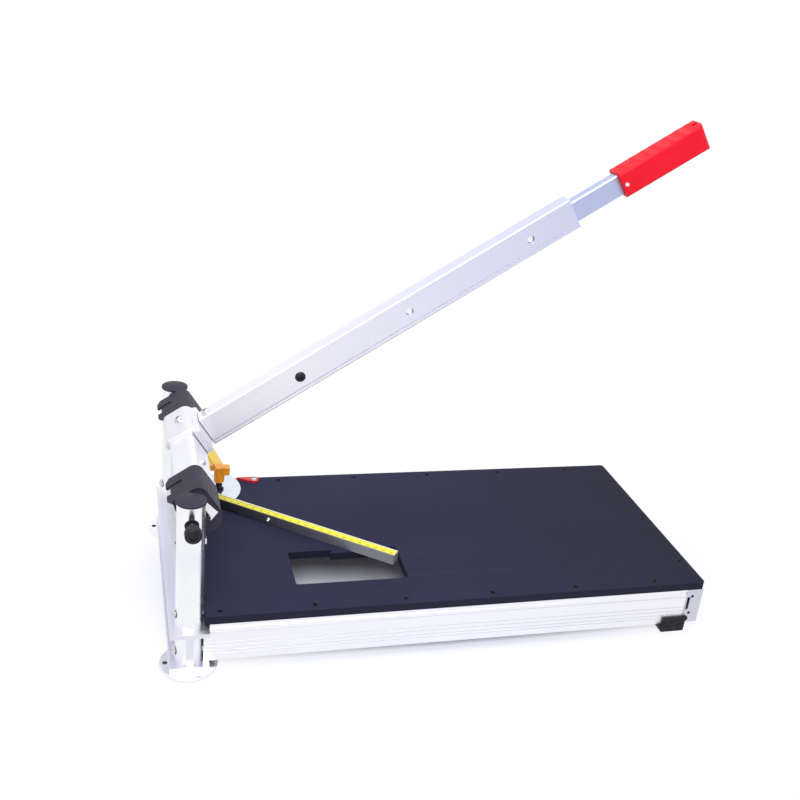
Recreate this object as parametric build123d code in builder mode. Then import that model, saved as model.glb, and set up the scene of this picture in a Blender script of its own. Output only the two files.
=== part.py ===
"""Laminate flooring cutter: a bench guillotine with a long lever, a table and a swinging fence.

Millimetres, +Z up.  The origin is on the floor, midway between the two posts; +X runs along the
table away from the blade, and -Y is the side that the user stands at (front).
"""
import os
from math import atan2, cos, degrees, hypot, radians, sin

from build123d import *

os.makedirs("parts", exist_ok=True)

SIDES = (("front", -1), ("back", 1))
UPRIGHT = (Align.CENTER, Align.CENTER, Align.MIN)
HANGING = (Align.CENTER, Align.CENTER, Align.MAX)

# Fits and clearances
run_fit = 0.05            # all round a shaft or plunger that moves in a bore
seat_fit = 0.05           # all round a fixed piece in its seat
slide_gap = 0.3           # each side of a bar that slides in a tube or slot
move_gap = 0.4            # between two bodies that pass each other
hole_spare = 1.0          # a blind hole, past the end of its screw
edge_break = 0.8          # small chamfer on a turned or sawn edge
button_taper = 28.0       # flank of a button head, from its axis

# Posts and their feet
post_span = 270.0         # axis to axis
post_dia = 28.0
post_wall = 2.5
post_rise = 19.3          # top of a post above the pivot axis
cap_dia = 30.2
cap_rim = 1.8
cap_crown = 1.2
cap_plug = 6.0
foot_dia = 60.0
foot_thick = 4.0
foot_hole_x = 24.0
foot_hole_dia = 5.5
spigot_height = 10.0

# Base beam, an I section that ties the posts together
beam_width = 40.0
beam_height = 46.0
beam_flange = 5.0
beam_web = 7.0
beam_margin = 4.0         # beam past a post's hole
beam_root = 3.0

# Table board and the rails under its edges
board_left = 15.4
board_length = 570.4
board_overhang = 8.4      # board past a post's axis
board_thick = 9.3
board_corner = 4.0
table_top = 63.5
rail_depth = 15.0
rail_height = 44.8
rail_wall = 2.4
rail_groove = 0.9         # depth of the fine grooves in a rail's outer face
rail_groove_width = 1.0
rail_groove_drops = (9.4, 23.0, 28.0, 33.0, 37.0)
rail_slot_depth = 1.4     # of the wide groove near the top
rail_slot_width = 3.5
rail_slot_drop = 4.2
rail_block = 11.0         # solid top of a rail, for the board screws
rail_rib = 11.0           # solid band round the lower bolts
end_rail_depth = 20.0
end_slot_inset = 3.4
end_slot_width = 3.6
end_slot_height = 17.0
end_slot_drop = 18.5
end_bore_inset = 7.6
end_bore_dia = 3.8
end_bore_drops = (9.0, 32.0)
rail_gap = 0.3            # between a long rail and the post or the end rail

# Window in the board
window_left = 116.0
window_inset = 47.4       # from the board's front edge
window_length = 126.0
window_width = 63.0
window_corner = 3.0
tab_left = 48.0           # from the window's left edge to the tab on its far edge
tab_length = 46.0
tab_reach = 6.0

# Board screws
board_screw_dia = 4.0
board_screw_head = 8.1
board_screw_length = 16.0
screw_row_inset = 9.0     # from the board's edge
screw_row_left = 15.6     # first screw from the board's left edge
screw_row_right = 60.6    # last screw from its right edge
screw_row_count = 6
end_screw_inset = 9.0     # from the board's right edge
end_screw_pitch = 97.8
end_screw_dia = 5.0        # screws along X that join the end rail to the long rails
end_screw_head = 9.0
end_screw_head_height = 2.4
end_screw_grip = 20.0

# Rubber feet at the far end of the table
pad_length = 31.0
pad_past = 6.0            # foot past the long rail's end, outside the end rail
pad_height = 18.0
pad_wall = 3.4
pad_wedge = 4.5           # slanted toe under the rail
pad_lip = 2.5             # overhang at the foot's right end
pad_lip_low = 13.0

# Post bolts: the lower ones hold the rails, the upper ones carry the spring seats
post_bolt_dia = 6.0
post_bolt_head = 11.0
post_bolt_head_height = 3.3
post_bolt_low = 19.9
post_bolt_high = 65.0
post_bolt_reach = 27.0    # lower bolts, right of the post axis

# Cutting strip on the base beam
strip_left = -9.0
strip_right = 14.9
strip_drop = 0.5          # below the table top
strip_groove = 6.0
strip_groove_depth = 4.5
strip_screw_x = -3.0
strip_screw_pitch = 90.0

# Rotor: the turning beam that carries the handle and the two cams
pivot_height = 175.0
handle_angle = 33.2       # above the table, in the rest pose
rotor_end_gap = 3.0       # between the rotor and a post
rotor_left = -6.7
rotor_waist = -9.0        # lower end of the left side
rotor_right = 21.5
rotor_top = 14.6
rotor_low = -22.5
rotor_foot = 10.0         # along the handle, the lowest corner
rotor_heel = -2.0
rotor_lip = 4.0
rotor_corner = 7.0
rotor_edge = 3.0          # rounding of the upper left edge
rotor_wall = 4.0
rotor_thick_wall = 9.0    # under the handle's side
rotor_boss = 8.5
pivot_bolt_dia = 10.0
pivot_bolt_head = 16.0
pivot_bolt_head_height = 10.0
pivot_socket_radius = 4.6
pivot_socket_depth = 5.0
pivot_bolt_stand = 10.0   # shank showing in front of the post
pivot_bolt_grip = 32.0    # length inside the rotor
bush_wall = 2.0
washer_dia = 15.0

# Cams: the involute's base radius is the blade's travel in mm for each radian of the handle
cam_base = 11.0
cam_rest = 27.9           # from the pivot axis down to the follower, in the rest pose
cam_up = -53.0            # degrees of turn that the cam face reaches, handle up
cam_down = 41.0           # the same, handle down
cam_steps = 8             # points that the cam's curve runs through, less one
cover_length = 48.0
cover_wall = 3.1
cover_corner = 10.0
cover_nose = 1.5          # bulge of the cover below its flat right side
cover_flat_low = -17.0
cover_lines = (2.0, 10.0) # fine grooves along the right side, below its rounded edge
cover_line_width = 1.0
cover_line_depth = 0.6
prong_reach = 4.9
prong_thick = 3.2
prong_gap = 16.6
prong_taper = 8.0         # off each prong's outer side, at its tip
prong_groove = 14.0       # shallow groove that carries on from the gap
prong_groove_depth = 1.2

# Blade carriage
carrier_thick = 10.0
carrier_flange = 6.7
carrier_end_gap = 4.0     # between the carrier and a post
carrier_right = 17.5
tongue_thick = 8.0
tongue_rise = 9.0         # tongue above the carrier's lower edge
tongue_drop = 5.8         # and below its top
tongue_reach = 5.0        # past the post axis
carriage_drop = 7.4       # travel below the rest pose
carriage_lift = 9.7       # travel above it
slot_spare = 1.0          # each end of a post's slot, past the tongue's travel
follower_dia = 11.0
follower_height = 6.0
follower_rim = 2.4        # straight side below the dome
follower_shank = 6.0
blade_thick = 3.0
blade_inset = 4.0         # at each end of the carrier
blade_height = 43.0
blade_clear = 5.4         # cutting edge above the table, in the rest pose
blade_show = 19.1         # blade below the carrier
blade_bevel = 4.0
blade_land = 0.2          # flat left on the cutting edge
blade_screw_dia = 5.0
blade_screw_head = 9.5
blade_screw_head_height = 2.6
blade_screw_bite = 8.0    # thread in the carrier
blade_screw_rise = 35.1   # above the cutting edge
blade_screw_pitch = 60.0
blade_screw_count = 4
plunger_margin = 2.5      # plunger above and below the tongue
spring_wire = 1.8
spring_turns = 5
spring_gap = 1.5          # between the coil and the tube
spring_seat = 2.0

# Handle
handle_inset = 27.0       # from the saddle's back end
handle_axis_v = -7.8      # from the pivot axis to the tube's centre line, across the handle
tube_height = 35.5
tube_width = 20.0
tube_wall = 3.0
tube_edge = 5.2           # upper and lower walls
tube_corner = 1.2
tube_line_rise = 4.9      # fine groove along each side, above the lower edge
tube_line_width = 0.8
tube_line_depth = 0.35
tube_end = 507.0
inner_wall = 2.0
inner_start = 268.0
inner_end = 658.0
handle_holes = (293.0, 450.0)
handle_hole_dia = 9.0
handle_bolt_u = 151.0
handle_bolt_dia = 8.0
handle_bolt_head = 12.0
handle_bolt_head_height = 2.8
handle_nut_height = 4.8
tongue_end = 172.0
saddle_length = 61.0
saddle_gap = 1.0          # to the back cover
saddle_thick = 4.0
saddle_leg = 8.0          # thickness under the tube
saddle_low = -19.0        # lower end of that leg
saddle_left_low = 8.0     # lower end of the left leg
saddle_leg_top = 9.0
saddle_web = 13.0         # height where the leg runs into the top
saddle_bolt_dia = 6.0
saddle_bolt_head = 11.0
saddle_bolt_head_height = 3.3
saddle_bolt_depth = 3.5   # shank below the saddle's inner face
saddle_bolt_u = 11.0
tube_bolt_u = 40.5        # the bolt through the tube's upper wall
tube_bolt_depth = 8.0     # shank below that wall

# Grip
grip_start = 568.0
grip_end = 678.0
grip_height = 30.5
grip_width = 28.0
grip_waves = 7
grip_wave = 0.9           # depth of a scallop
grip_round = 4.0
grip_nose = 9.0           # plain stretch at the far end
grip_edge = 2.0           # rounding of the far end, seen from the side
grip_plan_round = 10.0    # the same, seen from above
grip_hole_u = 671.5
grip_hole_offset = -1.0   # towards the back
grip_hole_dia = 6.5
grip_rivet_u = 572.5
grip_rivet_dia = 3.0
grip_rivet_head = 5.2
grip_rivet_head_height = 1.0

# Fence, which swings on the board about its pivot screw
fence_x = 28.0
fence_inset = 26.4        # pivot from the board's back edge
fence_angle = -38.0       # rest pose, from the table's long edge
fence_swing_down = 7.0    # degrees past the rest pose
fence_swing_up = 38.0     # degrees back to square
bar_size = 12.0
bar_start = 10.0
bar_length = 265.0
bar_offset = 17.3         # from the pivot to the bar's centre line
tape_width = 10.0
tape_thick = 0.4
plate_radius = 52.0
plate_thick = 2.5
plate_back = 33.0
plate_corner = 10.0
plate_ear = 7.0           # left end of the plate's back edge
plate_margin = 7.0        # plate left of the pivot
shoulder_dia = 8.0
shoulder_thread_dia = 6.0
shoulder_head = 14.0
shoulder_head_height = 3.0
stud_x = 25.0             # from the fence pivot
stud_y = -5.0
stud_dia = 6.0
stud_head = 12.0
stud_head_thick = 3.4
stud_lift = 0.6           # stud's head above the board's underside, and below its slot's roof
slot_gap = 0.3
slot_head_gap = 0.6
slot_spare_angle = 3.0
bar_screw_dia = 4.0
bar_screw_sink = 2.0      # depth of the countersink
bar_screw_bite = 5.0      # thread in the bar
bar_screw_places = (20.0, 40.0)
stop_screw_place = 113.0
stop_screw_dia = 3.0
stop_screw_head = 5.4
stop_screw_head_height = 1.6
stop_screw_bite = 6.0

# Clamp lever on the stud
lever_hub_dia = 13.0
lever_lift = 12.0         # hub above the plate
lever_hub_height = 16.6
lever_bite = 13.0         # length of stud inside the hub
lever_arm_angle = 99.7    # from +X, in the rest pose
lever_arm_reach = 43.0
lever_arm_width = 11.1
lever_arm_thick = 7.0
lever_arm_round = 2.6
lever_tail_reach = 12.4   # short tail towards +X
lever_tail_width = 10.8
lever_tail_thick = 9.5
lever_tail_drop = 0.8     # below the arm's top
lever_lug_along = 20.5    # thumb lug on the arm's left side
lever_lug_across = 6.4
lever_lug_length = 26.0
lever_lug_width = 6.8
lever_lug_drop = 2.6
washer_thick = 1.6
collar_dia = 8.0          # collar between the washer and the hub

# Angle pointer on the board
pointer_x = 99.0
pointer_inset = 8.4       # from the board's back edge
pointer_reach = 20.0
pointer_rise = 5.0        # tip of the pointer, behind its screw
pointer_tip = 0.8
pointer_body = 12.0
pointer_thick = 2.6
pointer_screw_dia = 4.0
pointer_screw_head = 7.0
pointer_screw_head_height = 2.2

# Sizes worked out from the ones above
post_y = post_span / 2
post_bore = post_dia - 2 * post_wall
post_top = pivot_height + post_rise
beam_length = post_span + post_dia + 2 * beam_margin
beam_low = foot_thick
beam_top = foot_thick + beam_height
board_low = table_top - board_thick
board_right = board_left + board_length
board_half = post_y + board_overhang
board_width = 2 * board_half
window_front = window_inset - board_half
screw_row_y = board_half - screw_row_inset
fence_y = board_half - fence_inset
pointer_y = board_half - pointer_inset
board_middle = (board_left + board_right) / 2
rail_top = board_low
rail_low = rail_top - rail_height
rail_left = post_dia / 2 + rail_gap
end_rail_left = board_right - end_rail_depth
rail_right = end_rail_left - rail_gap
rail_centre = board_half - rail_depth / 2
pad_left = rail_right + pad_past - pad_length
slope = radians(handle_angle)
rotor_half = post_y - post_dia / 2 - rotor_end_gap
carrier_half = post_y - post_dia / 2 - carrier_end_gap
blade_half = carrier_half - blade_inset
blade_edge = table_top + blade_clear
blade_screw_height = blade_edge + blade_screw_rise
carrier_low = blade_edge + blade_show
carrier_top = pivot_height - cam_rest - slide_gap - follower_height
tongue_low = carrier_low + tongue_rise
tongue_high = carrier_top - tongue_drop
blade_left = carrier_thick / 2
strip_top = table_top - strip_drop
plunger_low = tongue_low - plunger_margin
plunger_high = tongue_high + plunger_margin
seat_low = post_bolt_high + post_bolt_dia / 2 + seat_fit
cam_y = rotor_half - cover_length / 2
saddle_back = rotor_half - cover_length - saddle_gap
handle_y = saddle_back - handle_inset
saddle_root = rotor_right + seat_fit + saddle_leg
tube_start = saddle_root + seat_fit
inner_height = tube_height - 2 * tube_edge - 2 * slide_gap
inner_width = tube_width - 2 * tube_wall - 2 * slide_gap
plate_low = table_top + move_gap
plate_top = plate_low + plate_thick
bar_top = plate_low + bar_size
stud_low = board_low + stud_lift
lever_x = fence_x + stud_x
lever_y = fence_y + stud_y
lever_base = plate_top + lever_lift
lever_top = lever_base + lever_hub_height + lever_arm_thick / 2
screw_row_pitch = (board_length - screw_row_left - screw_row_right) / (screw_row_count - 1)
screw_xs = [board_left + screw_row_left + screw_row_pitch * i for i in range(screw_row_count)]
end_screw_x = board_right - end_screw_inset
board_screws = [(x, side * screw_row_y) for x in screw_xs for _, side in SIDES]
board_screws += [(end_screw_x, end_screw_pitch * i) for i in (-1, 0, 1)]


def keep(builder, name):
    """Label a finished piece and write it."""
    builder.part.label = name
    export_step(builder.part, f"parts/{name}.step")


def handle_plane(y):
    """Plane across the rotor at y: local x along the handle, local y square to it, facing -Y."""
    return Plane(origin=(0, y, pivot_height), x_dir=(cos(slope), 0, sin(slope)), z_dir=(0, -1, 0))


def handle_section(u):
    """Plane square to the handle at u: local x towards +Y, local y up across the handle."""
    centre = handle_plane(handle_y).from_local_coords(Vector(u, handle_axis_v, 0))
    return Plane(origin=centre, x_dir=(0, 1, 0), z_dir=(cos(slope), 0, sin(slope)))


def handle_top(v):
    """Plane along the handle at v above its centre line: local x along it, local y towards +Y."""
    centre = handle_plane(handle_y).from_local_coords(Vector(0, handle_axis_v + v, 0))
    return Plane(origin=centre, x_dir=(cos(slope), 0, sin(slope)), z_dir=(-sin(slope), 0, cos(slope)))


def fence_plane(z):
    """Plane on the fence at height z: origin at its pivot, local x along the bar."""
    return Plane(origin=(fence_x, fence_y, z)).rotated((0, 0, fence_angle))


def stop_screw_plane():
    """Plane on the fence bar's front side at its small screw, facing out."""
    middle = fence_plane((plate_low + bar_top) / 2)
    centre = middle.from_local_coords(Vector(stop_screw_place, -bar_offset - bar_size / 2, 0))
    return Plane(origin=centre, x_dir=middle.x_dir, z_dir=-middle.y_dir)


def side_plane(y):
    """Plane that faces -Y at y: local x is +X and local y is +Z."""
    return Plane.XZ.offset(-y)


# Foot plates: round steel discs, each with a spigot that plugs the post and two screw holes
for side, s in SIDES:
    with BuildPart() as foot_plate:
        with Locations((0, s * post_y, 0)):
            Cylinder(foot_dia / 2, foot_thick, align=UPRIGHT)
        chamfer(foot_plate.edges().filter_by(GeomType.CIRCLE).group_by(Axis.Z)[-1], edge_break)
        with Locations((0, s * post_y, foot_thick)):
            Cylinder(post_bore / 2 - seat_fit, spigot_height, align=UPRIGHT)
        with Locations((-foot_hole_x, s * post_y, foot_thick), (foot_hole_x, s * post_y, foot_thick)):
            Hole(foot_hole_dia / 2, depth=foot_thick)
    keep(foot_plate, f"foot_plate_{side}")

# Base beam: aluminium I section along Y, bored for the posts
with BuildPart() as base_beam:
    with BuildSketch(side_plane(beam_length / 2)):
        with Locations((0, beam_low + beam_flange / 2), (0, beam_top - beam_flange / 2)):
            Rectangle(beam_width, beam_flange)
        with Locations((0, (beam_low + beam_top) / 2)):
            Rectangle(beam_web, beam_height)
    extrude(amount=beam_length)
    roots = base_beam.edges().filter_by(Axis.Y).filter_by_position(Axis.X, -beam_web / 2, beam_web / 2)
    web_low = beam_low + beam_flange / 2
    web_high = beam_top - beam_flange / 2
    fillet(roots.filter_by_position(Axis.Z, web_low, web_high), beam_root)
    with Locations((0, -post_y, beam_top), (0, post_y, beam_top)):
        Hole(post_dia / 2 + seat_fit, depth=beam_height)
    with Locations(*[(strip_screw_x, strip_screw_pitch * i, beam_top) for i in (-1, 0, 1)]):
        Hole(board_screw_dia / 2 + seat_fit, depth=board_screw_length - (strip_top - beam_top) + hole_spare)
keep(base_beam, "base_beam")

# Posts: plated steel tubes with bolt holes, the pivot bush's hole and a slot for the carriage
slot_low = tongue_low - carriage_drop - slot_spare
slot_high = tongue_high + carriage_lift + slot_spare
for side, s in SIDES:
    with BuildPart() as post:
        with BuildSketch(Plane.XY.offset(foot_thick)):
            with Locations((0, s * post_y)):
                Circle(post_dia / 2)
                Circle(post_bore / 2, mode=Mode.SUBTRACT)
        extrude(amount=post_top - foot_thick)
        with BuildSketch(Plane.YZ):
            with Locations((s * post_y, post_bolt_low), (s * post_y, post_bolt_high)):
                Circle(post_bolt_dia / 2 + seat_fit)
        extrude(amount=post_dia, both=True, mode=Mode.SUBTRACT)
        with BuildSketch(side_plane(s * post_y)):
            with Locations((0, pivot_height)):
                Circle(pivot_bolt_dia / 2 + run_fit + bush_wall + seat_fit)
        extrude(amount=post_dia, both=True, mode=Mode.SUBTRACT)
        with BuildSketch(side_plane(s * post_y)):
            with Locations((0, (slot_low + slot_high) / 2)):
                Rectangle(tongue_thick + 2 * slide_gap, slot_high - slot_low)
        extrude(amount=s * post_dia, mode=Mode.SUBTRACT)
    keep(post, f"post_{side}")

# Post caps: flat black plugs pressed into the tubes
for side, s in SIDES:
    with BuildPart() as post_cap:
        with BuildSketch(side_plane(s * post_y)):
            with BuildLine():
                Polyline(
                    (0, post_top + cap_rim + cap_crown),
                    (0, post_top - cap_plug),
                    (post_bore / 2 - seat_fit, post_top - cap_plug),
                    (post_bore / 2 - seat_fit, post_top + seat_fit),
                    (cap_dia / 2, post_top + seat_fit),
                    (cap_dia / 2, post_top + cap_rim),
                )
                TangentArc(
                    (0, post_top + cap_rim + cap_crown),
                    (cap_dia / 2, post_top + cap_rim),
                    tangent=(1, 0),
                )
            make_face()
        revolve(axis=Axis((0, s * post_y, 0), (0, 0, 1)))
    keep(post_cap, f"post_cap_{side}")

# Post bolts: chrome button heads on the left, the lower shanks into the rails, the upper across the posts
with BuildPart() as post_bolts:
    post_bolt_spots = [(s * post_y, z) for _, s in SIDES for z in (post_bolt_low, post_bolt_high)]
    with BuildSketch(Plane.YZ.offset(-post_dia / 2 - seat_fit)):
        with Locations(*post_bolt_spots):
            Circle(post_bolt_dia / 2)
    extrude(amount=post_dia)
    with BuildSketch(Plane.YZ):
        with Locations(*[(s * post_y, post_bolt_low) for _, s in SIDES]):
            Circle(post_bolt_dia / 2)
    extrude(amount=post_bolt_reach)
    with BuildSketch(Plane.YZ.offset(-post_dia / 2 - seat_fit)):
        with Locations(*post_bolt_spots):
            Circle(post_bolt_head / 2)
    extrude(amount=-post_bolt_head_height, taper=button_taper)
keep(post_bolts, "post_bolts")

# Table board: black board with screw holes, the window and the T slot of the fence clamp
stud_radius = hypot(stud_x, stud_y)
stud_angle = degrees(atan2(stud_y, stud_x))
slot_from = stud_angle - fence_swing_down - slot_spare_angle
slot_sweep = fence_swing_down + fence_swing_up + 2 * slot_spare_angle
slot_widths = (stud_dia + 2 * slot_gap, stud_head + 2 * slot_head_gap)
slot_depths = (board_thick, stud_head_thick + 2 * stud_lift)
with BuildPart() as table_board:
    with BuildSketch(Plane.XY.offset(board_low)):
        with Locations((board_middle, 0)):
            RectangleRounded(board_length, board_width, board_corner)
        with Locations((window_left + window_length / 2, window_front + window_width / 2)):
            RectangleRounded(window_length, window_width, window_corner, mode=Mode.SUBTRACT)
        with Locations((window_left + tab_left + tab_length / 2, window_front + window_width)):
            Trapezoid(tab_length, 2 * tab_reach, 60)
    extrude(amount=board_thick)
    with Locations(*[(x, y, table_top) for x, y in board_screws]):
        CounterSinkHole(
            board_screw_dia / 2 + seat_fit,
            board_screw_head / 2 + seat_fit,
            counter_sink_angle=90,
        )
    with Locations((fence_x, fence_y, table_top)):
        Hole(shoulder_thread_dia / 2 + seat_fit, depth=board_thick)
    with Locations((pointer_x, pointer_y, table_top)):
        Hole(pointer_screw_dia / 2 + seat_fit, depth=board_thick)
    for width, depth in zip(slot_widths, slot_depths):
        with BuildSketch(Plane.XY.offset(board_low)):
            with Locations((fence_x, fence_y)):
                SlotArc(CenterArc((0, 0), stud_radius, slot_from, slot_sweep), width)
        extrude(amount=depth, mode=Mode.SUBTRACT)
keep(table_board, "table_board")

# Board screws: countersunk, down into the rails
with BuildPart() as board_screw_set:
    with Locations(*[(x, y, table_top) for x, y in board_screws]):
        Cone(
            board_screw_dia / 2,
            board_screw_head / 2,
            (board_screw_head - board_screw_dia) / 2,
            align=HANGING,
        )
        Cylinder(board_screw_dia / 2, board_screw_length, align=HANGING)
keep(board_screw_set, "board_screws")

# Rails: aluminium extrusions under the board's long edges, grooved along the outer face
notch_right = beam_width / 2 + rail_gap
notch_low = beam_top - beam_flange - rail_gap
rail_screw_heights = (post_bolt_low, rail_top - rail_block / 2)
for side, s in SIDES:
    with BuildPart() as rail:
        with BuildSketch(Plane.YZ.offset(rail_left)):
            with Locations((s * rail_centre, (rail_low + rail_top) / 2)):
                Rectangle(rail_depth, rail_height)
            for low, high in (
                (rail_low + rail_wall, post_bolt_low - rail_rib / 2),
                (post_bolt_low + rail_rib / 2, rail_top - rail_block),
            ):
                with Locations((s * rail_centre, (low + high) / 2)):
                    Rectangle(rail_depth - 2 * rail_wall, high - low, mode=Mode.SUBTRACT)
            with Locations((s * board_half, rail_top - rail_slot_drop)):
                Rectangle(2 * rail_slot_depth, rail_slot_width, mode=Mode.SUBTRACT)
            with Locations(*[(s * board_half, rail_top - drop) for drop in rail_groove_drops]):
                Rectangle(2 * rail_groove, rail_groove_width, mode=Mode.SUBTRACT)
        extrude(amount=rail_right - rail_left)
        with BuildSketch(side_plane(s * rail_centre)):
            with Locations((rail_left, notch_low)):
                Rectangle(notch_right - rail_left, rail_top - notch_low, align=(Align.MIN, Align.MIN))
        extrude(amount=rail_depth, both=True, mode=Mode.SUBTRACT)
        with Locations(*[(x, s * screw_row_y, rail_top) for x in screw_xs]):
            Hole(board_screw_dia / 2 + seat_fit, depth=board_screw_length - board_thick + hole_spare)
        with BuildSketch(Plane.YZ.offset(rail_left)):
            with Locations((s * post_y, post_bolt_low)):
                Circle(post_bolt_dia / 2 + seat_fit)
        extrude(amount=post_bolt_reach, mode=Mode.SUBTRACT)
        with BuildSketch(Plane.YZ.offset(rail_right)):
            with Locations(*[(s * rail_centre, height) for height in rail_screw_heights]):
                Circle(end_screw_dia / 2 + seat_fit)
        extrude(amount=-end_screw_grip - hole_spare, mode=Mode.SUBTRACT)
    keep(rail, f"rail_{side}")

# End rail: across the far end, its section open at both ends
with BuildPart() as rail_end:
    with BuildSketch(side_plane(board_half)):
        with Locations((end_rail_left + end_rail_depth / 2, (rail_low + rail_top) / 2)):
            Rectangle(end_rail_depth, rail_height)
        with Locations((end_rail_left + end_slot_inset, rail_top - end_slot_drop)):
            Rectangle(end_slot_width, end_slot_height, mode=Mode.SUBTRACT)
        with Locations(*[(end_rail_left + end_bore_inset, rail_top - drop) for drop in end_bore_drops]):
            Circle(end_bore_dia / 2, mode=Mode.SUBTRACT)
        with Locations(*[(board_right, rail_top - drop) for drop in rail_groove_drops]):
            Rectangle(2 * rail_groove, rail_groove_width, mode=Mode.SUBTRACT)
    extrude(amount=board_width)
    with Locations(*[(end_screw_x, end_screw_pitch * i, rail_top) for i in (-1, 0, 1)]):
        Hole(board_screw_dia / 2 + seat_fit, depth=board_screw_length - board_thick + hole_spare)
    end_screw_spots = [(s * rail_centre, height) for _, s in SIDES for height in rail_screw_heights]
    with BuildSketch(Plane.YZ.offset(board_right)):
        with Locations(*end_screw_spots):
            Circle(end_screw_dia / 2 + seat_fit)
    extrude(amount=-end_rail_depth, mode=Mode.SUBTRACT)
keep(rail_end, "rail_end")

# Rail screws: through the end rail into the long rails
with BuildPart() as rail_screws:
    with BuildSketch(Plane.YZ.offset(board_right + seat_fit)):
        with Locations(*end_screw_spots):
            Circle(end_screw_dia / 2)
    extrude(amount=-end_rail_depth - end_screw_grip)
    with BuildSketch(Plane.YZ.offset(board_right + seat_fit)):
        with Locations(*end_screw_spots):
            Circle(end_screw_head / 2)
    extrude(amount=end_screw_head_height, taper=button_taper)
keep(rail_screws, "rail_screws")

# Rubber feet: moulded shoes pushed on to the rails near the far end
for side, s in SIDES:
    with BuildPart() as rubber_foot:
        with BuildSketch(side_plane(s * rail_centre + rail_depth / 2 + pad_wall)):
            with BuildLine():
                Polyline(
                    (pad_left, 0),
                    (pad_left + pad_length - pad_lip, 0),
                    (pad_left + pad_length - pad_lip, pad_lip_low),
                    (pad_left + pad_length, pad_lip_low + pad_lip),
                    (pad_left + pad_length, pad_height),
                    (pad_left, pad_height),
                    (pad_left, rail_low - seat_fit),
                    (pad_left - pad_wedge, rail_low - seat_fit),
                    close=True,
                )
            make_face()
        extrude(amount=rail_depth + 2 * pad_wall)
        with Locations((pad_left, s * rail_centre, rail_low - seat_fit)):
            Box(
                pad_length,
                rail_depth + 2 * seat_fit,
                pad_height,
                align=(Align.MIN, Align.CENTER, Align.MIN),
                mode=Mode.SUBTRACT,
            )
        with Locations((end_rail_left - rail_gap, 0, rail_low - seat_fit)):
            Box(
                pad_length,
                board_width + 2 * seat_fit,
                pad_height,
                align=(Align.MIN, Align.CENTER, Align.MIN),
                mode=Mode.SUBTRACT,
            )
    keep(rubber_foot, f"rubber_foot_{side}")

# Cutting strip: stands on the base beam between the posts, with a groove under the blade
strip_half = post_y - post_dia / 2 - slide_gap
with BuildPart() as cutting_strip:
    with BuildSketch(side_plane(strip_half)):
        with Locations((strip_left, beam_top)):
            Rectangle(strip_right - strip_left, strip_top - beam_top, align=(Align.MIN, Align.MIN))
        with Locations((blade_left + blade_thick / 2, strip_top)):
            Rectangle(strip_groove, 2 * strip_groove_depth, mode=Mode.SUBTRACT)
    extrude(amount=2 * strip_half)
    with Locations(*[(strip_screw_x, strip_screw_pitch * i, strip_top) for i in (-1, 0, 1)]):
        CounterSinkHole(
            board_screw_dia / 2 + seat_fit,
            board_screw_head / 2 + seat_fit,
            counter_sink_angle=90,
        )
keep(cutting_strip, "cutting_strip")

with BuildPart() as strip_screws:
    with Locations(*[(strip_screw_x, strip_screw_pitch * i, strip_top) for i in (-1, 0, 1)]):
        Cone(
            board_screw_dia / 2,
            board_screw_head / 2,
            (board_screw_head - board_screw_dia) / 2,
            align=HANGING,
        )
        Cylinder(board_screw_dia / 2, board_screw_length, align=HANGING)
keep(strip_screws, "strip_screws")

# Angle pointer: red wedge beside the protractor plate, held by one screw
with BuildPart() as angle_pointer:
    with BuildSketch(Plane.XY.offset(table_top)):
        with Locations((pointer_x, pointer_y)):
            Circle(pointer_body / 2)
        with Locations((pointer_x - pointer_reach, pointer_y + pointer_rise)):
            Circle(pointer_tip)
        make_hull()
    extrude(amount=pointer_thick)
    with Locations((pointer_x, pointer_y, table_top + pointer_thick)):
        Hole(pointer_screw_dia / 2 + seat_fit, depth=pointer_thick)
keep(angle_pointer, "angle_pointer")

with BuildPart() as pointer_screw:
    with Locations((pointer_x, pointer_y, table_top + pointer_thick)):
        Cylinder(pointer_screw_dia / 2, pointer_thick + board_thick - hole_spare, align=HANGING)
        Cone(pointer_screw_head / 2, pointer_screw_head / 3, pointer_screw_head_height, align=UPRIGHT)
keep(pointer_screw, "pointer_screw")

# Pivot bushes: sleeves across the tops of the posts
for side, s in SIDES:
    with BuildPart() as pivot_bush:
        with BuildSketch(side_plane(s * post_y)):
            with Locations((0, pivot_height)):
                Circle(pivot_bolt_dia / 2 + run_fit + bush_wall)
                Circle(pivot_bolt_dia / 2 + run_fit, mode=Mode.SUBTRACT)
        extrude(amount=post_dia / 2, both=True)
    keep(pivot_bush, f"pivot_bush_{side}")

# Return springs of square wire inside the posts, on seats that rest on the upper post bolts
with BuildPart() as spring_seats:
    with Locations(*[(0, s * post_y, seat_low) for _, s in SIDES]):
        Cylinder(post_bore / 2 - seat_fit, spring_seat, align=UPRIGHT)
keep(spring_seats, "spring_seats")

spring_low = seat_low + spring_seat + spring_wire / 2 + seat_fit
spring_high = plunger_low - spring_wire / 2 - seat_fit
spring_radius = post_bore / 2 - spring_gap - spring_wire / 2
for side, s in SIDES:
    with BuildPart() as return_spring:
        with BuildLine() as coil:
            Helix(
                (spring_high - spring_low) / spring_turns,
                spring_high - spring_low,
                spring_radius,
                center=(0, s * post_y, spring_low),
            )
        with BuildSketch(coil.line ^ 0):
            Rectangle(spring_wire, spring_wire)
        sweep(is_frenet=True)
    keep(return_spring, f"return_spring_{side}")


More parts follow.
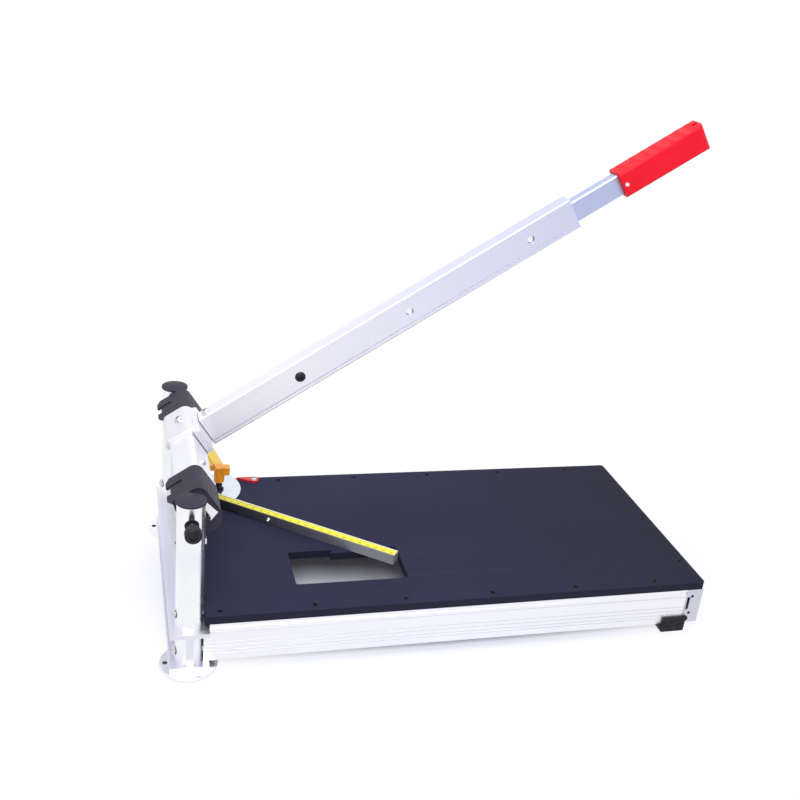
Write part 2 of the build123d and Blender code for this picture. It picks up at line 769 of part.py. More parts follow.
def rotor_profile(plane, grow):
    """Outline of the rotor's extrusion, grown all round; its boss bulges from the left side."""
    with BuildSketch(plane) as outline:
        with BuildLine():
            Polyline(
                (rotor_left, rotor_top),
                (rotor_left, rotor_waist),
                (rotor_heel, rotor_low + rotor_lip),
                (rotor_foot, rotor_low),
                (rotor_right, rotor_low + rotor_lip),
                (rotor_right, rotor_top),
                close=True,
            )
        make_face()
        fillet(outline.vertices().group_by(Axis.X)[-1].sort_by(Axis.Y)[-1], rotor_corner)
        fillet(outline.vertices().group_by(Axis.X)[0].sort_by(Axis.Y)[-1], rotor_edge)
        fillet(outline.vertices().sort_by(Axis.Y)[:3], rotor_lip / 2)
        if grow:
            offset(amount=grow)
        if grow >= 0:
            Circle(rotor_boss + grow)
    return outline.sketch


def cam_point(turn):
    """Point of the cam face that meets the follower after the handle has gone down by turn degrees."""
    lean = radians(turn) - slope
    drop = cam_rest + cam_base * radians(turn)
    return (cam_base * cos(lean) + drop * sin(lean), cam_base * sin(lean) - drop * cos(lean))


saddle_face = handle_top(rotor_top + seat_fit + saddle_thick - handle_axis_v)
tube_face = handle_top(tube_height / 2)


# Rotor beam: aluminium extrusion with a screw boss on the pivot axis
with BuildPart() as rotor_beam:
    with BuildSketch(handle_plane(rotor_half)):
        add(rotor_profile(Plane.XY, 0))
    extrude(amount=2 * rotor_half)
    with BuildSketch(handle_plane(rotor_half)) as hollow:
        add(rotor_profile(Plane.XY, -rotor_wall))
        Circle(rotor_boss, mode=Mode.SUBTRACT)
        with Locations((rotor_wall / 2, 0)):
            Rectangle(2 * rotor_boss, 4 * rotor_boss, align=(Align.MAX, Align.MIN), mode=Mode.SUBTRACT)
        Rectangle(4 * rotor_boss, rotor_wall, align=(Align.MIN, Align.CENTER), mode=Mode.SUBTRACT)
        with Locations((rotor_right, 0)):
            Rectangle(rotor_thick_wall, 8 * rotor_boss, align=(Align.MAX, Align.CENTER), mode=Mode.SUBTRACT)
    extrude(amount=2 * rotor_half, mode=Mode.SUBTRACT)
    for _, s in SIDES:
        with BuildSketch(handle_plane(s * rotor_half)):
            Circle(pivot_bolt_dia / 2 + seat_fit)
        extrude(amount=s * (pivot_bolt_grip + hole_spare), mode=Mode.SUBTRACT)
    with BuildSketch(saddle_face.offset(-saddle_thick)):
        with Locations((saddle_bolt_u, 0)):
            Circle(saddle_bolt_dia / 2 + seat_fit)
    extrude(amount=-saddle_bolt_depth - 2 * seat_fit, mode=Mode.SUBTRACT)
keep(rotor_beam, "rotor_beam")

# Rotor covers: black sleeves on the rotor's ends, whose undersides are the two cams
cover_top = rotor_top + cover_wall
cover_right = rotor_right + cover_wall
cover_left = rotor_left - cover_wall
prong_tip = cover_left - prong_reach
cam_turns = [cam_up + (cam_down - cam_up) * i / cam_steps for i in range(cam_steps + 1)]
cam_start = cam_point(cam_up)
cam_end = cam_point(cam_down)
chord = Vector(cover_right - cam_end[0], cover_flat_low - cam_end[1])
nose = Vector(*cam_end) + chord * 0.5 + Vector(chord.Y, -chord.X).normalized() * cover_nose
crown = cover_corner * (1 - cos(radians(45)))
for side, s in SIDES:
    outer_y = max(s * rotor_half, s * (rotor_half - cover_length))
    with BuildPart() as rotor_cover:
        with BuildSketch(handle_plane(outer_y)) as cover_outline:
            with BuildLine():
                Spline(*[cam_point(turn) for turn in cam_turns])
                ThreePointArc(cam_end, (nose.X, nose.Y), (cover_right, cover_flat_low))
                Line((cover_right, cover_flat_low), (cover_right, cover_top - cover_corner))
                ThreePointArc(
                    (cover_right, cover_top - cover_corner),
                    (cover_right - crown, cover_top - crown),
                    (cover_right - cover_corner, cover_top),
                )
                Polyline(
                    (cover_right - cover_corner, cover_top),
                    (prong_tip, cover_top),
                    (prong_tip, cover_top - prong_thick),
                    (cover_left, cover_top - prong_thick),
                    cam_start,
                )
            make_face()
            corners = cover_outline.vertices()
            tips = corners.filter_by_position(Axis.X, prong_tip - seat_fit, prong_tip + seat_fit)
            fillet(tips, prong_thick * 0.45)
            add(rotor_profile(Plane.XY, seat_fit), mode=Mode.SUBTRACT)
            with Locations(*[(cover_right, cover_top - cover_corner - drop) for drop in cover_lines]):
                Rectangle(2 * cover_line_depth, cover_line_width, mode=Mode.SUBTRACT)
        extrude(amount=cover_length)
        with BuildSketch(handle_top(cover_top - handle_axis_v)):
            with Locations((cover_left, s * cam_y - handle_y)):
                Rectangle(2 * prong_reach, prong_gap, align=(Align.MAX, Align.CENTER))
            for end in (-1, 1):
                with BuildLine(Location((0, s * cam_y - handle_y, 0))):
                    Polyline(
                        (cover_left, end * cover_length),
                        (cover_left, end * cover_length / 2),
                        (prong_tip, end * (cover_length / 2 - prong_taper)),
                        (prong_tip - prong_reach, end * (cover_length / 2 - prong_taper)),
                        (prong_tip - prong_reach, end * cover_length),
                        close=True,
                    )
                make_face()
        extrude(amount=-2 * prong_thick, mode=Mode.SUBTRACT)
        with BuildSketch(handle_top(cover_top - handle_axis_v)):
            with Locations((cover_left, s * cam_y - handle_y)):
                Rectangle(prong_groove, prong_gap, align=(Align.MIN, Align.CENTER))
        extrude(amount=-prong_groove_depth, mode=Mode.SUBTRACT)
    keep(rotor_cover, f"rotor_cover_{side}")

# Pivot bolts: black socket-head screws that turn in the bushes and screw into the rotor
for side, s in SIDES:
    head_root = post_y + post_dia / 2 + pivot_bolt_stand
    with BuildPart() as pivot_bolt:
        with BuildSketch(handle_plane(s * (rotor_half - pivot_bolt_grip))):
            Circle(pivot_bolt_dia / 2)
        extrude(amount=-s * (head_root - rotor_half + pivot_bolt_grip))
        with BuildSketch(handle_plane(s * head_root)):
            Circle(pivot_bolt_head / 2)
        extrude(amount=-s * pivot_bolt_head_height)
        rim = pivot_bolt.edges().filter_by(GeomType.CIRCLE).sort_by(Axis.Y)
        chamfer(rim[0] if s < 0 else rim[-1], edge_break)
        with BuildSketch(handle_plane(s * (head_root + pivot_bolt_head_height))):
            RegularPolygon(pivot_socket_radius, 6)
        extrude(amount=s * pivot_socket_depth, mode=Mode.SUBTRACT)
    keep(pivot_bolt, f"pivot_bolt_{side}")

# Thrust washers between the rotor and the posts
washer_room = post_y - post_dia / 2 - rotor_half
with BuildPart() as pivot_washers:
    for _, s in SIDES:
        with BuildSketch(handle_plane(s * (rotor_half + seat_fit))):
            Circle(washer_dia / 2)
            Circle(pivot_bolt_dia / 2 + seat_fit, mode=Mode.SUBTRACT)
        extrude(amount=-s * (washer_room - move_gap))
keep(pivot_washers, "pivot_washers")

# Handle bracket: cast saddle bolted over the rotor, with a tongue for the handle tube
saddle_inner = seat_fit
saddle_outer = seat_fit + saddle_thick
saddle_left = rotor_left - saddle_outer
tongue_room_x = tube_width - 2 * tube_wall - 2 * seat_fit
tongue_room_y = tube_height - 2 * tube_edge - 2 * seat_fit
with BuildPart() as handle_bracket:
    with BuildSketch(handle_plane(saddle_back)):
        add(rotor_profile(Plane.XY, saddle_outer))
        add(rotor_profile(Plane.XY, saddle_inner), mode=Mode.SUBTRACT)
        with BuildLine():
            Polyline(
                (saddle_left, rotor_top + saddle_outer),
                (saddle_left, saddle_left_low),
                (0, saddle_left_low),
                (rotor_foot, rotor_waist),
                (saddle_root, rotor_waist),
                (saddle_root, rotor_top + saddle_outer),
                close=True,
            )
        make_face(mode=Mode.INTERSECT)
        with BuildLine():
            Polyline(
                (rotor_right + saddle_inner, saddle_low),
                (saddle_root, saddle_low),
                (saddle_root, saddle_leg_top),
                (rotor_right, saddle_web),
                (rotor_right + saddle_inner, rotor_top - rotor_corner),
                close=True,
            )
        make_face()
    extrude(amount=saddle_length)
    with BuildSketch(handle_section(saddle_root - saddle_leg / 2)):
        Rectangle(tongue_room_x, tongue_room_y)
    extrude(amount=tongue_end - saddle_root + saddle_leg / 2)
    with BuildSketch(handle_plane(handle_y)):
        with Locations((handle_bolt_u, handle_axis_v)):
            Circle(handle_bolt_dia / 2 + seat_fit)
    extrude(amount=tube_width, both=True, mode=Mode.SUBTRACT)
    with BuildSketch(saddle_face):
        with Locations((saddle_bolt_u, 0)):
            Circle(saddle_bolt_dia / 2 + seat_fit)
    extrude(amount=-saddle_thick - seat_fit, mode=Mode.SUBTRACT)
    with BuildSketch(tube_face.offset(-tube_edge)):
        with Locations((tube_bolt_u, 0)):
            Circle(saddle_bolt_dia / 2 + seat_fit)
    extrude(amount=-tube_bolt_depth - hole_spare, mode=Mode.SUBTRACT)
keep(handle_bracket, "handle_bracket")

# Saddle bolts: chrome button heads, one on the saddle's top and one on the tube
with BuildPart() as saddle_bolts:
    for face, u, reach in (
        (saddle_face, saddle_bolt_u, saddle_thick + seat_fit + saddle_bolt_depth),
        (tube_face, tube_bolt_u, tube_edge + tube_bolt_depth),
    ):
        with BuildSketch(face.offset(seat_fit)):
            with Locations((u, 0)):
                Circle(saddle_bolt_dia / 2)
        extrude(amount=-reach - seat_fit)
        with BuildSketch(face.offset(seat_fit)):
            with Locations((u, 0)):
                Circle(saddle_bolt_head / 2)
        extrude(amount=saddle_bolt_head_height, taper=button_taper)
keep(saddle_bolts, "saddle_bolts")

# Handle outer tube: rectangular aluminium tube over the tongue
with BuildPart() as handle_outer_tube:
    with BuildSketch(handle_section(tube_start)):
        RectangleRounded(tube_width, tube_height, tube_corner)
        Rectangle(tube_width - 2 * tube_wall, tube_height - 2 * tube_edge, mode=Mode.SUBTRACT)
        with Locations(*[(side * tube_width / 2, tube_line_rise - tube_height / 2) for side in (-1, 1)]):
            Rectangle(2 * tube_line_depth, tube_line_width, mode=Mode.SUBTRACT)
    extrude(amount=tube_end - tube_start)
    with BuildSketch(tube_face):
        with Locations((tube_bolt_u, 0)):
            Circle(saddle_bolt_dia / 2 + seat_fit)
    extrude(amount=-tube_edge, mode=Mode.SUBTRACT)
    with BuildSketch(handle_plane(handle_y)):
        with Locations(*[(u, handle_axis_v) for u in handle_holes]):
            Circle(handle_hole_dia / 2)
        with Locations((handle_bolt_u, handle_axis_v)):
            Circle(handle_bolt_dia / 2 + seat_fit)
    extrude(amount=tube_width, both=True, mode=Mode.SUBTRACT)
keep(handle_outer_tube, "handle_outer_tube")

# Handle bolt: dark bolt and nut through the tube and the tongue
with BuildPart() as handle_bolt:
    tube_near = handle_y - tube_width / 2 - seat_fit
    tube_far = handle_y + tube_width / 2 + seat_fit
    with BuildSketch(handle_plane(tube_far)):
        with Locations((handle_bolt_u, handle_axis_v)):
            Circle(handle_bolt_dia / 2)
    extrude(amount=tube_far - tube_near)
    with BuildSketch(handle_plane(tube_near)):
        with Locations((handle_bolt_u, handle_axis_v)):
            Circle(handle_bolt_head / 2)
    extrude(amount=handle_bolt_head_height, taper=button_taper)
    with BuildSketch(handle_plane(tube_far)):
        with Locations((handle_bolt_u, handle_axis_v)):
            RegularPolygon(handle_bolt_head / 2, 6)
    extrude(amount=-handle_nut_height)
keep(handle_bolt, "handle_bolt")

# Handle inner tube: slides in the outer one, drilled to the same pitch
with BuildPart() as handle_inner_tube:
    with BuildSketch(handle_section(inner_start)):
        RectangleRounded(inner_width, inner_height, inner_wall)
        Rectangle(inner_width - 2 * inner_wall, inner_height - 2 * inner_wall, mode=Mode.SUBTRACT)
    extrude(amount=inner_end - inner_start)
    with BuildSketch(handle_plane(handle_y)):
        with Locations(*[(u, handle_axis_v) for u in handle_holes]):
            Circle(handle_hole_dia / 2)
        with Locations((grip_rivet_u, handle_axis_v)):
            Circle(grip_rivet_dia / 2 + seat_fit)
    extrude(amount=tube_width, both=True, mode=Mode.SUBTRACT)
keep(handle_inner_tube, "handle_inner_tube")

# Grip: red moulded sleeve, scalloped above and below and closed over the tube's end
grip_half = grip_height / 2
scallop = (grip_end - grip_nose - grip_start) / grip_waves
scallop_starts = [grip_start + scallop * i for i in range(grip_waves)]
with BuildPart() as grip:
    with BuildSketch(handle_plane(handle_y + grip_width / 2)) as grip_side:
        with BuildLine(Location((0, handle_axis_v, 0))):
            for u in scallop_starts:
                ThreePointArc(
                    (u, -grip_half), (u + scallop / 2, grip_wave - grip_half), (u + scallop, -grip_half)
                )
            Polyline(
                (grip_end - grip_nose, -grip_half),
                (grip_end, -grip_half),
                (grip_end, grip_half),
                (grip_end - grip_nose, grip_half),
            )
            for u in reversed(scallop_starts):
                ThreePointArc(
                    (u + scallop, grip_half), (u + scallop / 2, grip_half - grip_wave), (u, grip_half)
                )
            Line((grip_start, grip_half), (grip_start, -grip_half))
        make_face()
        fillet(grip_side.vertices().group_by(Axis.X)[-1], grip_edge)
    extrude(amount=grip_width)
    with BuildSketch(handle_section(grip_start)):
        RectangleRounded(grip_width, grip_height, grip_round)
    extrude(amount=grip_end - grip_start, mode=Mode.INTERSECT)
    with BuildSketch(handle_top(0)) as grip_plan:
        with Locations((grip_start, 0)):
            Rectangle(grip_end - grip_start, grip_width, align=(Align.MIN, Align.CENTER))
        fillet(grip_plan.vertices().group_by(Axis.X)[-1], grip_plan_round)
    extrude(amount=grip_height, both=True, mode=Mode.INTERSECT)
    with BuildSketch(handle_section(grip_start)):
        Rectangle(inner_width + 2 * seat_fit, inner_height + 2 * seat_fit)
    extrude(amount=inner_end - grip_start + seat_fit, mode=Mode.SUBTRACT)
    with BuildSketch(handle_top(0)):
        with Locations((grip_hole_u, grip_hole_offset)):
            Circle(grip_hole_dia / 2)
    extrude(amount=grip_height, both=True, mode=Mode.SUBTRACT)
    with BuildSketch(handle_plane(handle_y)):
        with Locations((grip_rivet_u, handle_axis_v)):
            Circle(grip_rivet_dia / 2 + seat_fit)
    extrude(amount=grip_width, both=True, mode=Mode.SUBTRACT)
keep(grip, "grip")

# Grip rivet: through the grip and the inner tube
with BuildPart() as grip_rivet:
    with BuildSketch(handle_plane(handle_y + grip_width / 2 + seat_fit)):
        with Locations((grip_rivet_u, handle_axis_v)):
            Circle(grip_rivet_dia / 2)
    extrude(amount=grip_width + 2 * seat_fit)
    for s in (-1, 1):
        with BuildSketch(handle_plane(handle_y + s * (grip_width / 2 + seat_fit))):
            with Locations((grip_rivet_u, handle_axis_v)):
                Circle(grip_rivet_head / 2)
        extrude(amount=-s * grip_rivet_head_height, taper=button_taper)
keep(grip_rivet, "grip_rivet")

# Blade carrier: aluminium angle between the posts, its tongues reaching into them
with BuildPart() as blade_carrier:
    with BuildSketch(side_plane(carrier_half)):
        with Locations((0, carrier_low)):
            Rectangle(carrier_thick, carrier_top - carrier_low, align=(Align.CENTER, Align.MIN))
        with Locations((-carrier_thick / 2, carrier_top)):
            Rectangle(carrier_thick / 2 + carrier_right, carrier_flange, align=(Align.MIN, Align.MAX))
    extrude(amount=2 * carrier_half)
    with Locations((0, 0, tongue_low)):
        Box(tongue_thick, 2 * (post_y + tongue_reach), tongue_high - tongue_low, align=UPRIGHT)
    with Locations(*[(cam_base, s * cam_y, carrier_top) for _, s in SIDES]):
        Hole(follower_shank / 2 + seat_fit, depth=carrier_flange)
    with BuildSketch(Plane.YZ.offset(carrier_thick / 2)):
        with Locations((0, blade_screw_height)):
            with GridLocations(blade_screw_pitch, 0, blade_screw_count, 1):
                Circle(blade_screw_dia / 2 + seat_fit)
    extrude(amount=-blade_screw_bite - hole_spare, mode=Mode.SUBTRACT)
keep(blade_carrier, "blade_carrier")

# Blade: ground steel plate on the carrier's right face, bevelled from the left
blade_face = blade_left + seat_fit
with BuildPart() as blade:
    with BuildSketch(side_plane(blade_half)):
        with BuildLine():
            Polyline(
                (blade_face, blade_edge + blade_height),
                (blade_face, blade_edge + blade_bevel),
                (blade_face + blade_thick - blade_land, blade_edge),
                (blade_face + blade_thick, blade_edge),
                (blade_face + blade_thick, blade_edge + blade_height),
                close=True,
            )
        make_face()
    extrude(amount=2 * blade_half)
    with BuildSketch(Plane.YZ.offset(blade_left)):
        with Locations((0, blade_screw_height)):
            with GridLocations(blade_screw_pitch, 0, blade_screw_count, 1):
                Circle(blade_screw_dia / 2 + seat_fit)
    extrude(amount=2 * blade_thick, mode=Mode.SUBTRACT)
keep(blade, "blade")

with BuildPart() as blade_screws:
    head_face = Plane.YZ.offset(blade_face + blade_thick + seat_fit)
    with BuildSketch(head_face):
        with Locations((0, blade_screw_height)):
            with GridLocations(blade_screw_pitch, 0, blade_screw_count, 1):
                Circle(blade_screw_dia / 2)
    extrude(amount=-blade_thick - blade_screw_bite)
    with BuildSketch(head_face):
        with Locations((0, blade_screw_height)):
            with GridLocations(blade_screw_pitch, 0, blade_screw_count, 1):
                Circle(blade_screw_head / 2)
    extrude(amount=blade_screw_head_height, taper=button_taper)
keep(blade_screws, "blade_screws")

# Cam followers: domed studs on the carrier's flange, one under each cam
for side, s in SIDES:
    with BuildPart() as cam_follower:
        with BuildSketch(side_plane(s * cam_y)):
            with BuildLine():
                Polyline(
                    (cam_base, carrier_top + follower_height),
                    (cam_base, carrier_top - carrier_flange),
                    (cam_base + follower_shank / 2, carrier_top - carrier_flange),
                    (cam_base + follower_shank / 2, carrier_top + seat_fit),
                    (cam_base + follower_dia / 2, carrier_top + seat_fit),
                    (cam_base + follower_dia / 2, carrier_top + follower_rim),
                )
                TangentArc(
                    (cam_base, carrier_top + follower_height),
                    (cam_base + follower_dia / 2, carrier_top + follower_rim),
                    tangent=(1, 0),
                )
            make_face()
        revolve(axis=Axis((cam_base, s * cam_y, 0), (0, 0, 1)))
    keep(cam_follower, f"cam_follower_{side}")

# Guide plungers: slide in the posts, each slotted for a tongue of the carrier
for side, s in SIDES:
    with BuildPart() as guide_plunger:
        with Locations((0, s * post_y, plunger_low)):
            Cylinder(post_bore / 2 - run_fit, plunger_high - plunger_low, align=UPRIGHT)
        with BuildSketch(Plane.XY.offset(tongue_low - seat_fit)):
            with Locations((0, s * (post_y + tongue_reach + seat_fit))):
                Rectangle(
                    tongue_thick + 2 * seat_fit,
                    post_dia,
                    align=(Align.CENTER, Align.MIN if s < 0 else Align.MAX),
                )
        extrude(amount=tongue_high - tongue_low + 2 * seat_fit, mode=Mode.SUBTRACT)
    keep(guide_plunger, f"guide_plunger_{side}")


def fence_point(along, across):
    """Place on the board, from the fence pivot, of a point given along and across the bar."""
    return fence_plane(0).from_local_coords(Vector(along, across, 0)) - Vector(fence_x, fence_y, 0)


# Protractor plate: polished steel quadrant under the bar, clamped through its stud hole
bar_front = -bar_offset - bar_size / 2
bar_screw_head = bar_screw_dia / 2 + bar_screw_sink
beyond_arc = plate_radius + plate_corner
with BuildPart() as protractor_plate:
    with BuildSketch(Plane((fence_x, fence_y, plate_low))) as plate_outline:
        with BuildLine():
            heel = fence_point(bar_start, bar_front)
            toe = fence_point(beyond_arc, bar_front)
            Polyline(
                (heel.X, heel.Y),
                (toe.X, toe.Y),
                (beyond_arc, toe.Y),
                (beyond_arc, plate_back),
                (plate_ear, plate_back),
                (-plate_margin, plate_margin),
                (-plate_margin, -plate_margin),
                close=True,
            )
        make_face()
        Circle(plate_radius, mode=Mode.INTERSECT)
        fillet(plate_outline.vertices().group_by(Axis.Y)[-1].sort_by(Axis.X)[-1], plate_corner)
        Circle(shoulder_dia / 2 + run_fit, mode=Mode.SUBTRACT)
        with Locations((stud_x, stud_y)):
            Circle(stud_dia / 2 + seat_fit, mode=Mode.SUBTRACT)
    extrude(amount=plate_thick)
    with BuildSketch(fence_plane(plate_low)):
        with Locations(*[(place, -bar_offset) for place in bar_screw_places]):
            Circle(bar_screw_dia / 2 + seat_fit)
    extrude(amount=plate_thick, mode=Mode.SUBTRACT)
    with BuildSketch(fence_plane(plate_low)):
        with Locations(*[(place, -bar_offset) for place in bar_screw_places]):
            Circle(bar_screw_head + seat_fit)
    extrude(amount=bar_screw_sink, taper=45, mode=Mode.SUBTRACT)
keep(protractor_plate, "protractor_plate")

# Fence bar: black square bar, rebated underneath to sit on the plate
with BuildPart() as fence_bar:
    with BuildSketch(fence_plane(plate_low)):
        with Locations((bar_start, -bar_offset)):
            Rectangle(bar_length, bar_size, align=(Align.MIN, Align.CENTER))
    extrude(amount=bar_size)
    chamfer(fence_bar.edges().filter_by(Axis.Z), edge_break)
    with BuildSketch(fence_plane(plate_low)):
        with Locations((0, -bar_offset)):
            Rectangle(plate_radius, 2 * bar_size, align=(Align.MIN, Align.CENTER))
    extrude(amount=plate_thick + seat_fit, mode=Mode.SUBTRACT)
    with BuildSketch(fence_plane(plate_top)):
        with Locations(*[(place, -bar_offset) for place in bar_screw_places]):
            Circle(bar_screw_dia / 2 + seat_fit)
    extrude(amount=bar_screw_bite + hole_spare, mode=Mode.SUBTRACT)
    with BuildSketch(stop_screw_plane()):
        Circle(stop_screw_dia / 2 + seat_fit)
    extrude(amount=-stop_screw_bite - hole_spare, mode=Mode.SUBTRACT)
keep(fence_bar, "fence_bar")

# Fence tape: yellow measuring tape stuck along the bar's top
with BuildPart() as fence_tape:
    with BuildSketch(fence_plane(bar_top)):
        with Locations((bar_start + edge_break, -bar_offset)):
            Rectangle(bar_length - 2 * edge_break, tape_width, align=(Align.MIN, Align.CENTER))
    extrude(amount=tape_thick)
keep(fence_tape, "fence_tape")

# Fence screws: two countersunk from below through the plate, one small one in the bar's side
with BuildPart() as fence_screws:
    with BuildSketch(fence_plane(plate_low)):
        with Locations(*[(place, -bar_offset) for place in bar_screw_places]):
            Circle(bar_screw_head)
    extrude(amount=bar_screw_sink, taper=45)
    with BuildSketch(fence_plane(plate_low)):
        with Locations(*[(place, -bar_offset) for place in bar_screw_places]):
            Circle(bar_screw_dia / 2)
    extrude(amount=plate_thick + bar_screw_bite)
    with BuildSketch(stop_screw_plane().offset(seat_fit)):
        Circle(stop_screw_dia / 2)
    extrude(amount=-stop_screw_bite)
    with BuildSketch(stop_screw_plane().offset(seat_fit)):
        Circle(stop_screw_head / 2)
    extrude(amount=stop_screw_head_height, taper=button_taper)
keep(fence_screws, "fence_screws")

# Fence pivot screw: a shoulder screw in the board
with BuildPart() as fence_pivot_screw:
    with Locations((fence_x, fence_y, table_top)):
        Cylinder(shoulder_thread_dia / 2, board_thick - hole_spare, align=HANGING)
        Cylinder(shoulder_dia / 2, plate_top + slide_gap - table_top, align=UPRIGHT)
    with Locations((fence_x, fence_y, plate_top + slide_gap)):
        Cone(shoulder_head / 2, shoulder_head / 2 - edge_break, shoulder_head_height, align=UPRIGHT)
keep(fence_pivot_screw, "fence_pivot_screw")

# Clamp stud: a T bolt in the board's slot, with a collared washer on the plate
with BuildPart() as clamp_stud:
    with Locations((lever_x, lever_y, stud_low)):
        Cylinder(stud_head / 2, stud_head_thick, align=UPRIGHT)
        Cylinder(stud_dia / 2, lever_base + lever_bite - stud_low, align=UPRIGHT)
keep(clamp_stud, "clamp_stud")

with BuildPart() as clamp_washer:
    with Locations((lever_x, lever_y, plate_top)):
        Cylinder(stud_head / 2, washer_thick, align=UPRIGHT)
        Cylinder(collar_dia / 2, lever_base - plate_top - slide_gap, align=UPRIGHT)
    with Locations((lever_x, lever_y, lever_base)):
        Hole(stud_dia / 2 + seat_fit)
keep(clamp_washer, "clamp_washer")

# Clamp lever: orange moulding on a hub that screws down the stud, with a long arm, a tail and a lug
arm_turn = radians(lever_arm_angle)
arm_plane = Plane((lever_x, lever_y, lever_top), x_dir=(cos(arm_turn), sin(arm_turn), 0), z_dir=(0, 0, 1))
with BuildPart() as clamp_lever:
    with Locations((lever_x, lever_y, lever_base)):
        Cylinder(lever_hub_dia / 2, lever_hub_height, align=UPRIGHT)
    with BuildSketch(arm_plane):
        with Locations((-lever_hub_dia / 2, 0)):
            RectangleRounded(
                lever_arm_reach + lever_hub_dia / 2,
                lever_arm_width,
                lever_arm_round,
                align=(Align.MIN, Align.CENTER),
            )
    extrude(amount=-lever_arm_thick)
    with BuildSketch(Plane((lever_x, lever_y, lever_top - lever_tail_drop))):
        RectangleRounded(
            lever_tail_reach, lever_tail_width, lever_arm_round, align=(Align.MIN, Align.CENTER)
        )
    extrude(amount=-lever_tail_thick)
    with BuildSketch(arm_plane.offset(-lever_lug_drop)):
        with Locations((lever_lug_along, lever_lug_across)):
            RectangleRounded(lever_lug_length, lever_lug_width, lever_arm_round)
    extrude(amount=-lever_arm_thick)
    with Locations((lever_x, lever_y, lever_base)):
        Cylinder(stud_dia / 2 + run_fit, lever_bite + hole_spare, align=UPRIGHT, mode=Mode.SUBTRACT)
keep(clamp_lever, "clamp_lever")
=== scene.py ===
"""Dresses the laminate flooring cutter: its finishes, its sockets and knurls, and the printed scales."""
from math import cos, pi, radians, sin

import bpy
from mathutils import Matrix, Vector


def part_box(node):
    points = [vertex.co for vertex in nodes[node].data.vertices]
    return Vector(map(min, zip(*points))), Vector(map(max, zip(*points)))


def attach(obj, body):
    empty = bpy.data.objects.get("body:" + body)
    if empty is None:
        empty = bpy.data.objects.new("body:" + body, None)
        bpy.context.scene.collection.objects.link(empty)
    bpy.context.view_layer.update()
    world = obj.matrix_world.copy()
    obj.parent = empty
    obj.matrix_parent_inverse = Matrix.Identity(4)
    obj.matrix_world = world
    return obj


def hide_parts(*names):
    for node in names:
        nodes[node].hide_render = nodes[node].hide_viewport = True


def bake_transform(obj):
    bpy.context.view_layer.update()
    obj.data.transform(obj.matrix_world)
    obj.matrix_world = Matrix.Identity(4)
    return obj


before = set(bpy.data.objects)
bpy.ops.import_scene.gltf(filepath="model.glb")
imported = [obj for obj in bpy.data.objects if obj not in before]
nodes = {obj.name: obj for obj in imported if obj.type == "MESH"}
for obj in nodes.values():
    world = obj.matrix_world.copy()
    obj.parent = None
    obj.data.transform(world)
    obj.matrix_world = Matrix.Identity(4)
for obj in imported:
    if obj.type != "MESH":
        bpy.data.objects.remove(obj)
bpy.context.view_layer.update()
bpy.ops.object.select_all(action="DESELECT")


# Studio: the cutter stands on a white sweep of paper, lit by a strong soft box from the user's side,
# a large one overhead and a faint one from the right.  The camera stands left of the middle and
# looks down along the table, slightly turned about its own axis.
camera_place = Vector((-0.0715, -1.0243, 0.7133))
camera_right = Vector((0.9642, -0.2471, 0.0967))
camera_forward = Vector((0.265, 0.874, -0.4075)).normalized()
camera_up = camera_right.cross(camera_forward).normalized()
camera_right = camera_forward.cross(camera_up).normalized()
camera_data = bpy.data.cameras.new("camera")
camera_data.sensor_width = 36.0
camera_data.lens = 47.06
camera = bpy.data.objects.new("camera", camera_data)
bpy.context.scene.collection.objects.link(camera)
camera.matrix_world = Matrix.Translation(camera_place) @ Matrix(
    (camera_right, camera_up, -camera_forward)
).transposed().to_4x4()
bpy.context.scene.camera = camera
bpy.context.scene.view_settings.view_transform = "Standard"

bpy.ops.mesh.primitive_plane_add(size=9.0, location=(0.3, 1.0, -0.0004))
paper = bpy.context.object
paper.name = "paper"
bpy.ops.object.transform_apply(location=True, rotation=True, scale=True)


def feed(tree, socket, value):
    """Links another node's output into a socket, or sets the socket to a plain value."""
    if isinstance(value, bpy.types.NodeSocket):
        tree.links.new(value, socket)
    else:
        socket.default_value = value


def add_math(tree, operation, *values):
    """Math node fed by outputs or numbers; returns its output."""
    node = tree.nodes.new("ShaderNodeMath")
    node.operation = operation
    for socket, value in zip(node.inputs, values):
        feed(tree, socket, value)
    return node.outputs[0]


def add_vector_math(tree, operation, *values):
    """Vector math node fed by outputs or triples; returns the vector, or the number of a distance."""
    node = tree.nodes.new("ShaderNodeVectorMath")
    node.operation = operation
    for socket, value in zip(node.inputs, values):
        feed(tree, socket, value)
    return node.outputs["Value" if operation == "DISTANCE" else "Vector"]


def add_ramp(tree, value, start, end, low=0.0, high=1.0, easing="LINEAR"):
    """Goes from low to high as value goes from start to end, and stays level beyond."""
    node = tree.nodes.new("ShaderNodeMapRange")
    node.interpolation_type = easing
    node.inputs["From Min"].default_value = start
    node.inputs["From Max"].default_value = end
    feed(tree, node.inputs["To Min"], low)
    feed(tree, node.inputs["To Max"], high)
    tree.links.new(value, node.inputs["Value"])
    return node.outputs["Result"]


def white_to_camera(tree):
    """1 for rays from the camera, a mirror or glass, 0 for light that bounces about."""
    rays = tree.nodes.new("ShaderNodeLightPath").outputs
    mirrored = add_math(tree, "MAXIMUM", rays["Is Camera Ray"], rays["Is Glossy Ray"])
    return add_math(tree, "MAXIMUM", mirrored, rays["Is Transmission Ray"])


def mix_shaders(tree, factor, first, second, output):
    """Mixes two shaders by factor into the output node of a tree."""
    mix = tree.nodes.new("ShaderNodeMixShader")
    tree.links.new(factor, mix.inputs[0])
    tree.links.new(first.outputs[0], mix.inputs[1])
    tree.links.new(second.outputs[0], mix.inputs[2])
    tree.links.new(mix.outputs[0], tree.nodes[output].inputs["Surface"])


